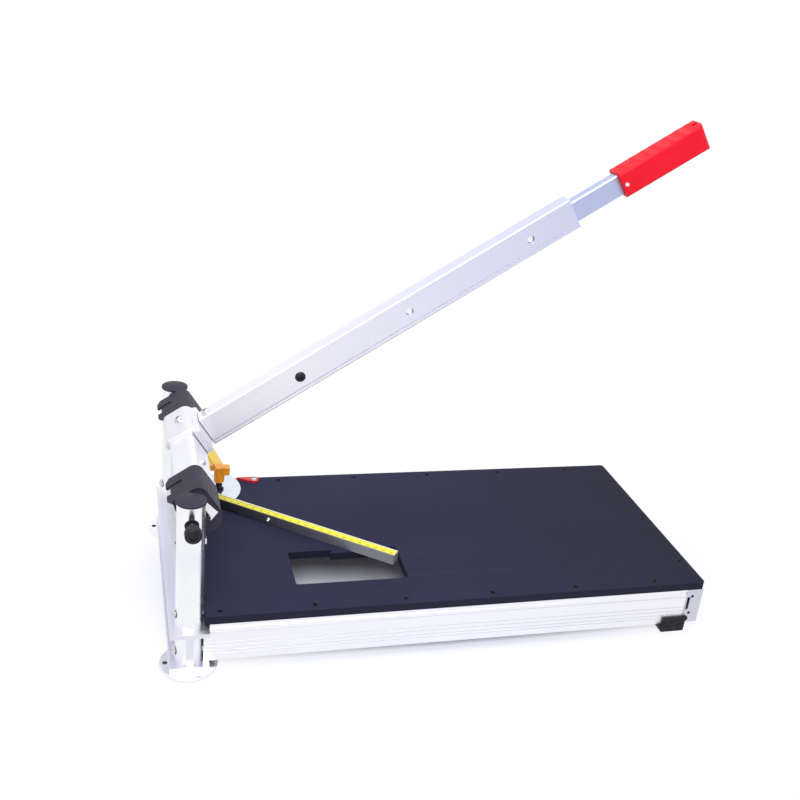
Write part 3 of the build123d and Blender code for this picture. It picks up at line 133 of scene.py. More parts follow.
table_middle = (0.3, 0.0, 0.0)
shaded_oval = (1, 2, 1)       # the shaded paper under the table is half as wide as it is long
shade_end = 0.2               # the paper begins to glow here, measured from the table's middle
glow_full = 0.45
least_glow = 0.02
post_y = 0.135                # centre of a post and its foot plate, from the middle of the cut
covered_radius = 0.029        # no glow under the foot plates, so that their holes stay in shade
paper_finish = bpy.data.materials.new("white_paper")
paper_finish.use_nodes = True
tree = paper_finish.node_tree
paper_surface = tree.nodes["Principled BSDF"]
paper_surface.inputs["Base Color"].default_value = (0.86, 0.87, 0.98, 1)
paper_surface.inputs["Roughness"].default_value = 0.9
paper_surface.inputs["Specular IOR Level"].default_value = 0.1
paper_glow = tree.nodes.new("ShaderNodeEmission")
paper_glow.inputs["Color"].default_value = (1, 1, 1, 1)
place = tree.nodes.new("ShaderNodeTexCoord").outputs["Object"]
widened = add_vector_math(tree, "MULTIPLY", place, shaded_oval)
from_table = add_vector_math(tree, "DISTANCE", widened, table_middle)
sweep = add_ramp(tree, from_table, shade_end, glow_full, low=least_glow, easing="SMOOTHSTEP")
either_side = add_vector_math(tree, "ABSOLUTE", place)
from_post = add_vector_math(tree, "DISTANCE", either_side, (0, post_y, 0))
past_foot = add_math(tree, "GREATER_THAN", from_post, covered_radius)
open_glow = add_math(tree, "MULTIPLY", sweep, past_foot)
glow_level = add_math(tree, "MULTIPLY", open_glow, white_to_camera(tree))
mix_shaders(tree, glow_level, paper_surface, paper_glow, "Material Output")
paper.data.materials.append(paper_finish)

sky = bpy.data.worlds.new("studio")
bpy.context.scene.world = sky
sky.use_nodes = True
tree = sky.node_tree
sky_light = tree.nodes["Background"]
sky_light.inputs["Color"].default_value = (0.88, 0.90, 1.0, 1)
sky_light.inputs["Strength"].default_value = 0.55
sky_white = tree.nodes.new("ShaderNodeBackground")
sky_white.inputs["Color"].default_value = (1, 1, 1, 1)
sky_white.inputs["Strength"].default_value = 1.0
mix_shaders(tree, white_to_camera(tree), sky_light, sky_white, "World Output")


def soft_box(name, place, target, size, power):
    """Square area light that points at target."""
    data = bpy.data.lights.new(name, "AREA")
    data.size = size
    data.energy = power
    lamp = bpy.data.objects.new(name, data)
    bpy.context.scene.collection.objects.link(lamp)
    lamp.location = place
    lamp.rotation_euler = (Vector(target) - Vector(place)).to_track_quat("-Z", "Y").to_euler()


soft_box("soft_box_overhead", place=(0.0, 0.3, 1.95), target=(0.2, 0, 0.1), size=1.3, power=12.0)
soft_box("soft_box_front", place=(-0.15, -1.5, 1.75), target=(0.2, 0, 0.1), size=0.9, power=29.0)
soft_box("soft_box_right", place=(1.1, 0.8, 1.2), target=(0.1, 0.1, 0.1), size=1.0, power=2.0)


# Foot plates and posts: turned steel discs and drawn steel tubes under bright zinc plate.
# The plate has a faint cloudy bloom, and the tubes keep the fine lines of drawing along their length.
# Each post stands on its disc's spigot, and the walls of the discs' drilled holes are painted dark as
# shade.
def new_group(name, outputs):
    """Node group fed by a vector, a scale and the range of its Value; its sockets come with it."""
    group = bpy.data.node_groups.new(name, "ShaderNodeTree")
    group.interface.new_socket("Vector", in_out="INPUT", socket_type="NodeSocketVector")
    for socket in ("Scale", "Low", "High"):
        group.interface.new_socket(socket, in_out="INPUT", socket_type="NodeSocketFloat")
    for socket in outputs:
        group.interface.new_socket(socket, in_out="OUTPUT", socket_type="NodeSocketFloat")
    return group, group.nodes.new("NodeGroupInput").outputs, group.nodes.new("NodeGroupOutput").inputs


def cloud_group():
    """Soft cloudy mask, for bloom on plate and handling marks on plastic."""
    group, given, result = new_group("cloud", ("Mask", "Value"))
    noise = group.nodes.new("ShaderNodeTexNoise")
    noise.inputs["Detail"].default_value = 4.0
    group.links.new(given["Vector"], noise.inputs["Vector"])
    group.links.new(given["Scale"], noise.inputs["Scale"])
    noise_low, noise_high = 0.3, 0.7
    mask = add_ramp(group, noise.outputs["Fac"], noise_low, noise_high)
    value = add_ramp(group, noise.outputs["Fac"], noise_low, noise_high, given["Low"], given["High"])
    group.links.new(mask, result["Mask"])
    group.links.new(value, result["Value"])
    return group


def line_group():
    """Fine streaks along the vector's X, for extrusion, drawing and grinding marks."""
    group, given, result = new_group("fine_lines", ("Streak", "Value"))
    noise = group.nodes.new("ShaderNodeTexNoise")
    noise.inputs["Detail"].default_value = 3.0
    noise.inputs["Roughness"].default_value = 0.6
    drawn_out = (0.012, 1, 1)
    group.links.new(add_vector_math(group, "MULTIPLY", given["Vector"], drawn_out), noise.inputs["Vector"])
    group.links.new(given["Scale"], noise.inputs["Scale"])
    noise_low, noise_high = 0.25, 0.75
    value = add_ramp(group, noise.outputs["Fac"], noise_low, noise_high, given["Low"], given["High"])
    group.links.new(noise.outputs["Fac"], result["Streak"])
    group.links.new(value, result["Value"])
    return group


cloud = cloud_group()
fine_lines = line_group()


def new_finish(name, metallic=0.0, specular=0.5, coat=0.0):
    """Material with one Principled BSDF at plain values, ready for its own texture nodes."""
    finish = bpy.data.materials.new(name)
    finish.use_nodes = True
    surface = finish.node_tree.nodes["Principled BSDF"]
    surface.inputs["Metallic"].default_value = metallic
    surface.inputs["Specular IOR Level"].default_value = specular
    surface.inputs["Coat Weight"].default_value = coat
    surface.inputs["Coat Roughness"].default_value = 0.12
    return finish, finish.node_tree, surface


def on_piece(tree, turn=(0, 0, 0), origin=(0, 0, 0)):
    """Object coordinates, turned and moved so that a pattern follows a piece."""
    mapping = tree.nodes.new("ShaderNodeMapping")
    mapping.vector_type = "TEXTURE"
    mapping.inputs["Location"].default_value = origin
    mapping.inputs["Rotation"].default_value = turn
    coordinates = tree.nodes.new("ShaderNodeTexCoord")
    tree.links.new(coordinates.outputs["Object"], mapping.inputs["Vector"])
    return mapping.outputs["Vector"]


def pattern(tree, group, vector, scale, low=0.0, high=1.0):
    """Clouds or fine lines on a vector, whose Value runs from low to high; returns the outputs."""
    node = tree.nodes.new("ShaderNodeGroup")
    node.node_tree = group
    node.inputs["Scale"].default_value = scale
    node.inputs["Low"].default_value = low
    node.inputs["High"].default_value = high
    tree.links.new(vector, node.inputs["Vector"])
    return node.outputs


def two_tone(tree, factor, light, dark):
    """Mixes two colours by factor; a colour is a triple or another node's output."""
    mix = tree.nodes.new("ShaderNodeMix")
    mix.data_type = "RGBA"
    light_socket, dark_socket = mix.inputs[6:8]          # after its numbers and vectors
    for socket, colour in ((light_socket, light), (dark_socket, dark)):
        feed(tree, socket, (*colour, 1) if isinstance(colour, tuple) else colour)
    tree.links.new(factor, mix.inputs["Factor"])
    return mix.outputs[2]


def colour_in(tree, surface, tone, roughness):
    """Gives a surface its colour and its roughness."""
    tree.links.new(tone, surface.inputs["Base Color"])
    tree.links.new(roughness, surface.inputs["Roughness"])


def emboss(tree, surface, height, depth):
    """Bump from a height output into the surface's normal."""
    bump = tree.nodes.new("ShaderNodeBump")
    bump.inputs["Strength"].default_value = 1.0
    bump.inputs["Distance"].default_value = depth
    tree.links.new(height, bump.inputs["Height"])
    tree.links.new(bump.outputs["Normal"], surface.inputs["Normal"])


def dress(finish, *names):
    """Gives CAD nodes their finish."""
    for name in names:
        nodes[name].material_slots[0].material = finish


upright = (0, radians(90), 0)
foot_hole = (0.024, post_y, 0.0018)    # middle of a hole's depth; the other three mirror it
foot_hole_reach = 0.00335              # a ball that takes in the hole's wall and not the plate's top
# painted shade: the holes' walls are coloured dark, as the shade inside them
painted_hole_shade = (0.20, 0.19, 0.25)
zinc, tree, surface = new_finish("bright_zinc", metallic=1.0)
bloom = pattern(tree, cloud, on_piece(tree), scale=26.0, low=0.2, high=0.34)
drawn = pattern(tree, fine_lines, on_piece(tree, upright), scale=700.0)
plate_tone = two_tone(tree, bloom["Mask"], light=(0.96, 0.97, 0.985), dark=(0.88, 0.90, 0.95))
every_hole = add_vector_math(tree, "ABSOLUTE", on_piece(tree))
from_hole = add_vector_math(tree, "DISTANCE", every_hole, foot_hole)
in_hole = add_math(tree, "LESS_THAN", from_hole, foot_hole_reach)
colour_in(tree, surface, two_tone(tree, in_hole, plate_tone, painted_hole_shade), bloom["Value"])
emboss(tree, surface, drawn["Streak"], depth=0.00001)
dress(zinc, "foot_plate_front", "foot_plate_back", "post_front", "post_back", "spring_seats")
dress(zinc, "fence_pivot_screw", "grip_rivet")


# Base beam: satin anodised aluminium extrusion between the posts, in a tone darker than the
# rails' as painted shade.  The die leaves fine straight lines along its length, which catch the light as
# soft streaks.
def extrusion_finish(name, light, dark, turn):
    """Anodised aluminium whose die lines run along the turned X axis."""
    finish, tree, surface = new_finish(name, metallic=1.0)
    lines = pattern(tree, fine_lines, on_piece(tree, turn), scale=420.0, low=0.36, high=0.46)
    smudge = pattern(tree, cloud, on_piece(tree), scale=14.0)
    smudge_share = 0.25
    smudge_tone = tuple(0.96 * part for part in dark)
    lined_tone = two_tone(tree, lines["Streak"], light, dark)
    smudged = add_math(tree, "MULTIPLY", smudge["Mask"], smudge_share)
    colour_in(tree, surface, two_tone(tree, smudged, lined_tone, smudge_tone), lines["Value"])
    emboss(tree, surface, lines["Streak"], depth=0.000006)
    return finish


across_table = (0, 0, radians(90))
# painted shade: this tone of the aluminium is darker than the rails', on the blade carrier too
painted_shade_cross_finish = extrusion_finish(
    "anodised_across_table_painted_shade", light=(0.86, 0.86, 0.94), dark=(0.74, 0.74, 0.85), turn=across_table,
)
dress(painted_shade_cross_finish, "base_beam")


# Post caps: black moulded nylon plugs with a fine spark-eroded grain, pressed into the tubes.
# The bushes across the tops of the posts are moulded in the same nylon.
moulded, tree, surface = new_finish("moulded_black", specular=0.3)
grain = pattern(tree, cloud, on_piece(tree), scale=1500.0, low=0.42, high=0.6)
rubbed = pattern(tree, cloud, on_piece(tree), scale=45.0)
nylon_tone = two_tone(tree, rubbed["Mask"], light=(0.024, 0.021, 0.043), dark=(0.015, 0.013, 0.028))
colour_in(tree, surface, nylon_tone, grain["Value"])
emboss(tree, surface, grain["Mask"], depth=0.00003)
dress(moulded, "post_cap_front", "post_cap_back", "pivot_bush_front", "pivot_bush_back")


# Post bolts: chromed button heads with a hexagon socket, two through each post.  The rim is
# rounded over as on a cold-headed screw and the socket is broached into the middle.
def clouded_finish(name, light, dark, scale, low, high, grain=0.0, **shine):
    """Material of two tones in soft clouds, which also vary its roughness from low to high."""
    finish, tree, surface = new_finish(name, **shine)
    clouds = pattern(tree, cloud, on_piece(tree), scale, low, high)
    colour_in(tree, surface, two_tone(tree, clouds["Mask"], light, dark), clouds["Value"])
    if grain:
        emboss(tree, surface, clouds["Mask"], grain)
    return finish


def pick(piece):
    """Makes one piece the only one selected, and the active one."""
    bpy.ops.object.select_all(action="DESELECT")
    piece.select_set(True)
    bpy.context.view_layer.objects.active = piece


def twins(node):
    """A CAD node's solids as new objects to work on, their loose triangles merged into faces."""
    piece = bpy.data.objects.new(node + "_made", nodes[node].data.copy())
    bpy.context.scene.collection.objects.link(piece)
    piece.data.materials.clear()
    pick(piece)
    bpy.ops.mesh.customdata_custom_splitnormals_clear()
    bpy.ops.object.mode_set(mode="EDIT")
    bpy.ops.mesh.select_all(action="SELECT")
    bpy.ops.mesh.remove_doubles(threshold=0.000002)
    bpy.ops.mesh.dissolve_limited(angle_limit=radians(1))
    bpy.ops.mesh.separate(type="LOOSE")
    bpy.ops.object.mode_set(mode="OBJECT")
    return list(bpy.context.selected_objects)


def end_face(solid, out):
    """Indices of the corners furthest along out, and their middle."""
    flat = 0.00001
    reach = max(corner.co.dot(out) for corner in solid.data.vertices)
    ends = {corner.index for corner in solid.data.vertices if corner.co.dot(out) > reach - flat}
    return ends, sum((solid.data.vertices[i].co for i in ends), Vector()) / len(ends)


def round_rim(solid, out, width, steps=3):
    """Rounds the edge of the face that ends a solid along out."""
    ends, _ = end_face(solid, out)
    pick(solid)
    bpy.context.tool_settings.mesh_select_mode = (False, True, False)
    bpy.ops.object.mode_set(mode="EDIT")
    bpy.ops.mesh.select_all(action="DESELECT")
    bpy.ops.object.mode_set(mode="OBJECT")
    for edge in solid.data.edges:
        edge.select = edge.vertices[0] in ends and edge.vertices[1] in ends
    bpy.ops.object.mode_set(mode="EDIT")
    bpy.ops.mesh.bevel(offset=width, segments=steps, affect="EDGES")
    bpy.ops.object.mode_set(mode="OBJECT")


def cut_socket(solid, out, radius, depth):
    """Cuts a hexagon socket into the middle of the face that ends a solid along out."""
    _, middle = end_face(solid, out)
    bpy.ops.mesh.primitive_cylinder_add(
        vertices=6, radius=radius, depth=2 * depth, location=middle,
        rotation=out.to_track_quat("Z", "Y").to_euler(),
    )
    broach = bpy.context.object
    cut = solid.modifiers.new("socket", "BOOLEAN")
    cut.operation = "DIFFERENCE"
    cut.solver = "EXACT"
    cut.object = broach
    pick(solid)
    bpy.ops.object.modifier_apply(modifier="socket")
    bpy.data.objects.remove(broach)


smooth_below = radians(35)    # faces that meet at less are shaded as one


def finished(solids, name, finish, body, node=None):
    """Joins solids into one piece with its finish, on its body, in place of its CAD node."""
    pick(solids[0])
    for solid in solids:
        solid.select_set(True)
    if len(solids) > 1:
        bpy.ops.object.join()
    piece = bpy.context.object
    piece.name = name
    piece.data.materials.clear()
    piece.data.materials.append(finish)
    bpy.ops.object.shade_smooth_by_angle(angle=smooth_below)
    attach(piece, body)
    if node:
        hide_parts(node)


to_left = Vector((-1, 0, 0))
chrome = clouded_finish(
    "bright_chrome", light=(0.72, 0.73, 0.77), dark=(0.54, 0.55, 0.60),
    scale=420.0, low=0.07, high=0.2, metallic=1.0,
)
bolts = twins("post_bolts")
for bolt in bolts:
    round_rim(bolt, to_left, width=0.0014, steps=4)
    cut_socket(bolt, to_left, radius=0.0021, depth=0.0016)
finished(bolts, "button_post_bolts", chrome, "base", "post_bolts")


# Rails: the same satin aluminium as the base beam, extruded along the table, with the end rail
# across the far end.  The long rails' tone is lightened as painted light, and the end rail's
# darkened as painted shade.  Button-head screws through the end rail pull the frame together.
to_right = Vector((1, 0, 0))
along_table = (0, 0, 0)
# painted light on the long rails and painted shade on the end rail: one aluminium in two tones
painted_light_rail_finish = extrusion_finish(
    "anodised_along_table_painted_light", light=(0.97, 0.97, 0.99), dark=(0.87, 0.87, 0.94), turn=along_table,
)
painted_shade_end_finish = extrusion_finish(
    "anodised_end_rail_painted_shade", light=(0.70, 0.70, 0.80), dark=(0.60, 0.60, 0.71), turn=across_table,
)
dress(painted_light_rail_finish, "rail_front", "rail_back")
dress(painted_shade_end_finish, "rail_end")
screws = twins("rail_screws")
for screw in screws:
    round_rim(screw, to_right, width=0.0010)
    cut_socket(screw, to_right, radius=0.0017, depth=0.0013)
finished(screws, "button_rail_screws", chrome, "base", "rail_screws")


# Rubber feet: black moulded shoes, dull and a little dusty.  They are pushed on to the far ends
# of the long rails and carry the table there.
shoe = clouded_finish(
    "black_rubber", light=(0.020, 0.018, 0.022), dark=(0.010, 0.009, 0.012),
    scale=220.0, low=0.62, high=0.85, grain=0.00006, specular=0.25,
)
dress(shoe, "rubber_foot_front", "rubber_foot_back")


# Table board: slate-black board with a fine matt skin, faintly rubbed along the table where
# planks slide.  Its sawn edges are darker, partly as the board's core and partly as painted
# shade, and its face grows darker away from the blade as a painted falloff of light.  Blackened
# countersunk screws hold it to the rails.
face_height = 0.0633          # the laminate face is above this, the sawn edges below
rubbed_streak = (0.58, 0.8)
rubbed_share = 0.35
falloff_ends = (0.28, 0.60)       # along the table
falloff_share = 0.85
rubbed_tone = (0.042, 0.043, 0.080)
falloff_shade_tone = (0.017, 0.017, 0.031)
# the sawn edges' dark tone is partly the board's core, partly painted shade
sawn_core_and_shade_tone = (0.019, 0.019, 0.035)
slate, tree, surface = new_finish("slate_board", specular=0.05)
skin = pattern(tree, cloud, on_piece(tree), scale=900.0, low=0.5, high=0.62)
broad = pattern(tree, cloud, on_piece(tree), scale=7.0)
slides = pattern(tree, fine_lines, on_piece(tree, along_table), scale=160.0)


def split_place(tree, vector):
    """The X, Y and Z outputs of a vector."""
    split = tree.nodes.new("ShaderNodeSeparateXYZ")
    tree.links.new(vector, split.inputs[0])
    return split.outputs


board_place = split_place(tree, on_piece(tree))
rub = add_ramp(tree, slides["Streak"], *rubbed_streak, high=rubbed_share)
# painted shade: the face darkens away from the blade, as the light falls off along the table
falloff_shade = add_ramp(tree, board_place["X"], *falloff_ends, high=falloff_share)
sawn = add_math(tree, "LESS_THAN", board_place["Z"], face_height)
board_tone = two_tone(tree, broad["Mask"], light=(0.032, 0.033, 0.066), dark=(0.025, 0.026, 0.053))
board_tone = two_tone(tree, rub, board_tone, rubbed_tone)
board_tone = two_tone(tree, falloff_shade, board_tone, falloff_shade_tone)
board_tone = two_tone(tree, sawn, board_tone, sawn_core_and_shade_tone)
colour_in(tree, surface, board_tone, skin["Value"])
emboss(tree, surface, skin["Mask"], depth=0.00004)
dress(slate, "table_board")

up = Vector((0, 0, 1))
phosphate = clouded_finish(
    "phosphated_screw", light=(0.020, 0.019, 0.030), dark=(0.011, 0.011, 0.018),
    scale=500.0, low=0.5, high=0.7, specular=0.12,
)
screws = twins("board_screws")
for screw in screws:
    cut_socket(screw, up, radius=0.0024, depth=0.0018)
finished(screws, "socket_board_screws", phosphate, "base", "board_screws")


# Cutting strip: pale nylon anvil on the base beam, screwed down and scored by the blade.  The
# carriage's plungers and the rotor's thrust washers are of the same nylon.
nylon, tree, surface = new_finish("pale_nylon", specular=0.4)
dust = pattern(tree, cloud, on_piece(tree), scale=160.0, low=0.4, high=0.58)
scores = pattern(tree, fine_lines, on_piece(tree, across_table), scale=260.0)
strip_tone = two_tone(tree, dust["Mask"], light=(0.86, 0.86, 0.89), dark=(0.76, 0.76, 0.80))
colour_in(tree, surface, strip_tone, dust["Value"])
emboss(tree, surface, scores["Streak"], depth=0.00005)
dress(nylon, "cutting_strip", "guide_plunger_front", "guide_plunger_back", "pivot_washers")
screws = twins("strip_screws")
for screw in screws:
    cut_socket(screw, up, radius=0.0024, depth=0.0018)
finished(screws, "socket_strip_screws", chrome, "base", "strip_screws")


# Angle pointer: red painted steel finger on the board, which points at the protractor plate's
# graduations.  One chromed button-head screw holds it.
pointer_paint = clouded_finish(
    "red_pointer", light=(0.70, 0.020, 0.030), dark=(0.56, 0.012, 0.020),
    scale=300.0, low=0.28, high=0.45, specular=0.4, coat=0.3,
)
dress(pointer_paint, "angle_pointer")
screws = twins("pointer_screw")
for screw in screws:
    round_rim(screw, up, width=0.0007)
    cut_socket(screw, up, radius=0.0018, depth=0.0014)
finished(screws, "button_pointer_screw", chrome, "base", "pointer_screw")


# Return springs: coils of oiled spring wire inside the posts, between their seats and the guide
# plungers.
wire = clouded_finish(
    "oiled_wire", light=(0.42, 0.43, 0.46), dark=(0.26, 0.26, 0.29),
    scale=400.0, low=0.2, high=0.42, metallic=1.0,
)
for side in ("front", "back"):
    coil = twins("return_spring_" + side)[0]
    coil.name = "return_coil_" + side
    coil.data.materials.append(wire)
    bpy.ops.object.shade_smooth_by_angle(angle=smooth_below)
    low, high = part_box("return_spring_" + side)
    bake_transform(coil)
    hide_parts("return_spring_" + side)


# Blade carriage: aluminium carrier with two domed chrome followers on top and a ground steel
# blade screwed to its side.  The grinding marks run across the blade.
ground, tree, surface = new_finish("ground_blade", metallic=1.0)
marks = pattern(tree, fine_lines, on_piece(tree, upright), scale=1800.0, low=0.30, high=0.42)
blade_tone = two_tone(tree, marks["Streak"], light=(0.80, 0.81, 0.84), dark=(0.70, 0.71, 0.75))
colour_in(tree, surface, blade_tone, marks["Value"])
emboss(tree, surface, marks["Streak"], depth=0.000002)
dress(ground, "blade")
dress(painted_shade_cross_finish, "blade_carrier")
dress(chrome, "cam_follower_front", "cam_follower_back")
screws = twins("blade_screws")
for screw in screws:
    round_rim(screw, to_right, width=0.0010)
    cut_socket(screw, to_right, radius=0.0018, depth=0.0014)
finished(screws, "button_blade_screws", chrome, "carriage", "blade_screws")


# Rotor: aluminium beam that turns between the posts, with moulded covers over the cams at its
# ends.  Black oxide socket bolts with knurled heads are its pivots.
pivot_height = 0.175
handle_slope = radians(33.2)  # rotor and handle at rest, above the table
knurl_teeth = 48
knurl_root = 0.00802
knurl_tip = 0.00832
knurl_margin = 0.0012         # plain head at each end of the knurl
head_length = 0.010
rotor_finish = extrusion_finish(
    "anodised_rotor", light=(0.92, 0.92, 0.97), dark=(0.82, 0.82, 0.91), turn=across_table,
)
oxide = clouded_finish(
    "black_oxide", light=(0.032, 0.030, 0.038), dark=(0.012, 0.012, 0.015),
    scale=500.0, low=0.3, high=0.5, metallic=0.7,
)
dress(rotor_finish, "rotor_beam")
dress(moulded, "rotor_cover_front", "rotor_cover_back")
dress(oxide, "pivot_bolt_front", "pivot_bolt_back")
for side, out_y in (("front", -1), ("back", 1)):
    low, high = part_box("pivot_bolt_" + side)
    head_end = low.y if out_y < 0 else high.y
    bpy.ops.mesh.primitive_cylinder_add(
        vertices=2 * knurl_teeth, radius=knurl_root, depth=head_length - 2 * knurl_margin,
        location=(0, head_end - out_y * head_length / 2, pivot_height), rotation=(radians(90), 0, 0),
    )
    knurl = bpy.context.object
    bpy.ops.object.transform_apply(location=True, rotation=True, scale=True)
    bpy.ops.object.mode_set(mode="EDIT")
    bpy.ops.mesh.select_all(action="DESELECT")
    bpy.ops.object.mode_set(mode="OBJECT")
    bpy.context.tool_settings.mesh_select_mode = (True, False, False)
    for corner in knurl.data.vertices:
        spoke = Vector((corner.co.x, 0, corner.co.z - pivot_height))
        step = round(up.angle(spoke) / (pi / knurl_teeth))
        corner.select = step % 2 == 1
    bpy.ops.object.mode_set(mode="EDIT")
    swell = knurl_tip / knurl_root
    bpy.ops.transform.resize(value=(swell, 1, swell), center_override=(0, 0, pivot_height))
    bpy.ops.object.mode_set(mode="OBJECT")
    finished([knurl], "knurl_" + side, oxide, "rotor")


# The covers' end faces: a thin web moulded along the top and right of each end, in the covers'
# nylon, and a small hook at the foot of it.  Corners in millimetres, along and across the rotor.
web_outline = (
    (-7.9, 15.8), (-7.9, 8.8), (5.0, 8.8), (11.5, -2.0), (18.3, -2.1),
    (21.0, -16.8), (22.7, -16.8), (22.7, 8.2), (20.2, 13.3), (15.2, 15.8),
)
hook_outline = (
    (3.0, -17.0), (3.0, -21.5), (8.5, -23.5), (10.4, -22.5), (10.4, -20.9), (12.3, -19.5), (11.7, -17.9),
)
web_thick = 0.0010
web_clear = 0.00005


def off_pivot(along, across):
    """X and Z of a point that is given along and across the handle from the rotor's pivot."""
    x = along * cos(handle_slope) - across * sin(handle_slope)
    z = along * sin(handle_slope) + across * cos(handle_slope)
    return x, z + pivot_height


def soften_edges(piece, width, steps, sharp):
    """Rounds the edges of a piece that are sharper than an angle."""
    soften = piece.modifiers.new("soften", "BEVEL")
    soften.width = width
    soften.segments = steps
    soften.limit_method = "ANGLE"
    soften.angle_limit = sharp
    pick(piece)
    bpy.ops.object.modifier_apply(modifier="soften")


for side, out_y in (("front", -1), ("back", 1)):
    rotor_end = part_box("rotor_beam")[0 if out_y < 0 else 1].y
    webs = []
    for outline in (web_outline, hook_outline):
        bpy.ops.object.select_all(action="DESELECT")
        bpy.ops.mesh.primitive_circle_add(vertices=len(outline), radius=0.01, fill_type="NGON")
        web = bpy.context.object
        for corner, (along, across) in zip(web.data.vertices, outline):
            x, z = off_pivot(along / 1000, across / 1000)
            corner.co = (x, rotor_end + out_y * web_clear, z)
        bpy.ops.object.mode_set(mode="EDIT")
        bpy.ops.mesh.select_all(action="SELECT")
        bpy.ops.mesh.extrude_region_move(TRANSFORM_OT_translate={"value": (0, out_y * web_thick, 0)})
        bpy.ops.mesh.select_all(action="SELECT")
        bpy.ops.mesh.normals_make_consistent(inside=False)
        bpy.ops.object.mode_set(mode="OBJECT")
        soften_edges(web, width=0.0003, steps=2, sharp=radians(30))
        webs.append(web)
    finished(webs, "cover_web_" + side, moulded, "rotor")


# Rotor's side screw: one small chromed screw in the beam's right side.  Its head lies flat on that
# side, with a rounded rim and a hexagon socket as on the post bolts.
side_screw_place = Vector((0.0202, -0.038, 0.1854))
off_rotor = Vector((cos(handle_slope), 0, sin(handle_slope)))
bpy.ops.mesh.primitive_cylinder_add(
    vertices=32, radius=0.0034, depth=0.0024, location=side_screw_place,
    rotation=(0, radians(90) - handle_slope, 0),
)
side_screw = bpy.context.object
bpy.ops.object.transform_apply(location=True, rotation=True, scale=True)
round_rim(side_screw, off_rotor, width=0.0009)
cut_socket(side_screw, off_rotor, radius=0.0015, depth=0.0012)
finished([side_screw], "rotor_side_screw", chrome, "rotor")


# Handle: a cast saddle bolted over the rotor carries two aluminium tubes, one in the other, held
# by a black bolt.  The tubes keep the die's lines along their length.  The outer one is painted
# darker towards the grip as shade and reflection, its fine groove is darkened as painted shade
# that damps the lamp's highlight there, and its joint and the saddle's are painted dark as shadow lines.
along_handle = (0, -handle_slope, 0)
handle_origin = (0, 0, pivot_height)
off_handle = Vector((-sin(handle_slope), 0, cos(handle_slope)))
to_user = Vector((0, -1, 0))
# painted shade and reflection: the outer tube grows darker between these points along it
far_shade_ends = (0.12, 0.50)       # along the handle, where the outer tube grows darker
# painted shade: the groove is darkened to damp the lamp's highlight in it
groove_place = -0.02065       # across the handle
groove_half = 0.0006
# painted shadow lines: dark bands where the tube meets the saddle and where the saddle meets the rotor
tube_joint = 0.0296           # along the handle
tube_joint_half = 0.0008
saddle_joint = 0.0220
saddle_joint_half = 0.00045
saddle_joint_top = 0.0125     # across the handle
far_painted_shade_tone = (0.64, 0.67, 0.84)
groove_painted_shade_tone = (0.55, 0.56, 0.68)
joint_painted_shadow_tone = (0.10, 0.10, 0.14)
tube_finish = extrusion_finish(
    "anodised_along_handle", light=(0.95, 0.93, 1.0), dark=(0.87, 0.85, 0.97), turn=along_handle,
)
tree = tube_finish.node_tree
surface = tree.nodes["Principled BSDF"]
tube_tone = surface.inputs["Base Color"].links[0].from_socket
tube_place = split_place(tree, on_piece(tree, along_handle, handle_origin))
outward_shade = add_ramp(tree, tube_place["X"], *far_shade_ends)
in_groove = add_math(tree, "COMPARE", tube_place["Z"], groove_place, groove_half)
at_joint = add_math(tree, "COMPARE", tube_place["X"], tube_joint, tube_joint_half)
tube_tone = two_tone(tree, outward_shade, tube_tone, far_painted_shade_tone)
tube_tone = two_tone(tree, in_groove, tube_tone, groove_painted_shade_tone)
tube_tone = two_tone(tree, at_joint, tube_tone, joint_painted_shadow_tone)
tree.links.new(tube_tone, surface.inputs["Base Color"])
dress(tube_finish, "handle_outer_tube")
inner_finish = extrusion_finish(
    "anodised_inner_tube", light=(0.55, 0.61, 0.84), dark=(0.44, 0.49, 0.73), turn=along_handle,
)
dress(inner_finish, "handle_inner_tube")

cast, tree, surface = new_finish("cast_saddle", metallic=1.0)
sand = pattern(tree, cloud, on_piece(tree), scale=700.0, low=0.36, high=0.5)
saddle_place = split_place(tree, on_piece(tree, along_handle, handle_origin))
# painted shadow line where the saddle's leg meets the rotor
on_line = add_math(tree, "COMPARE", saddle_place["X"], saddle_joint, saddle_joint_half)
below_top = add_math(tree, "LESS_THAN", saddle_place["Z"], saddle_joint_top)
at_joint = add_math(tree, "MULTIPLY", on_line, below_top)
cast_tone = two_tone(tree, sand["Mask"], light=(0.86, 0.86, 0.91), dark=(0.77, 0.77, 0.84))
colour_in(tree, surface, two_tone(tree, at_joint, cast_tone, joint_painted_shadow_tone), sand["Value"])
emboss(tree, surface, sand["Mask"], depth=0.00005)
dress(cast, "handle_bracket")

bolts = twins("saddle_bolts")
for bolt in bolts:
    round_rim(bolt, off_handle, width=0.0014, steps=4)
    cut_socket(bolt, off_handle, radius=0.0021, depth=0.0016)
finished(bolts, "button_saddle_bolts", chrome, "rotor", "saddle_bolts")
bolts = twins("handle_bolt")
for bolt in bolts:
    round_rim(bolt, to_user, width=0.0010)
    cut_socket(bolt, to_user, radius=0.0024, depth=0.0016)
finished(bolts, "button_handle_bolt", oxide, "rotor", "handle_bolt")


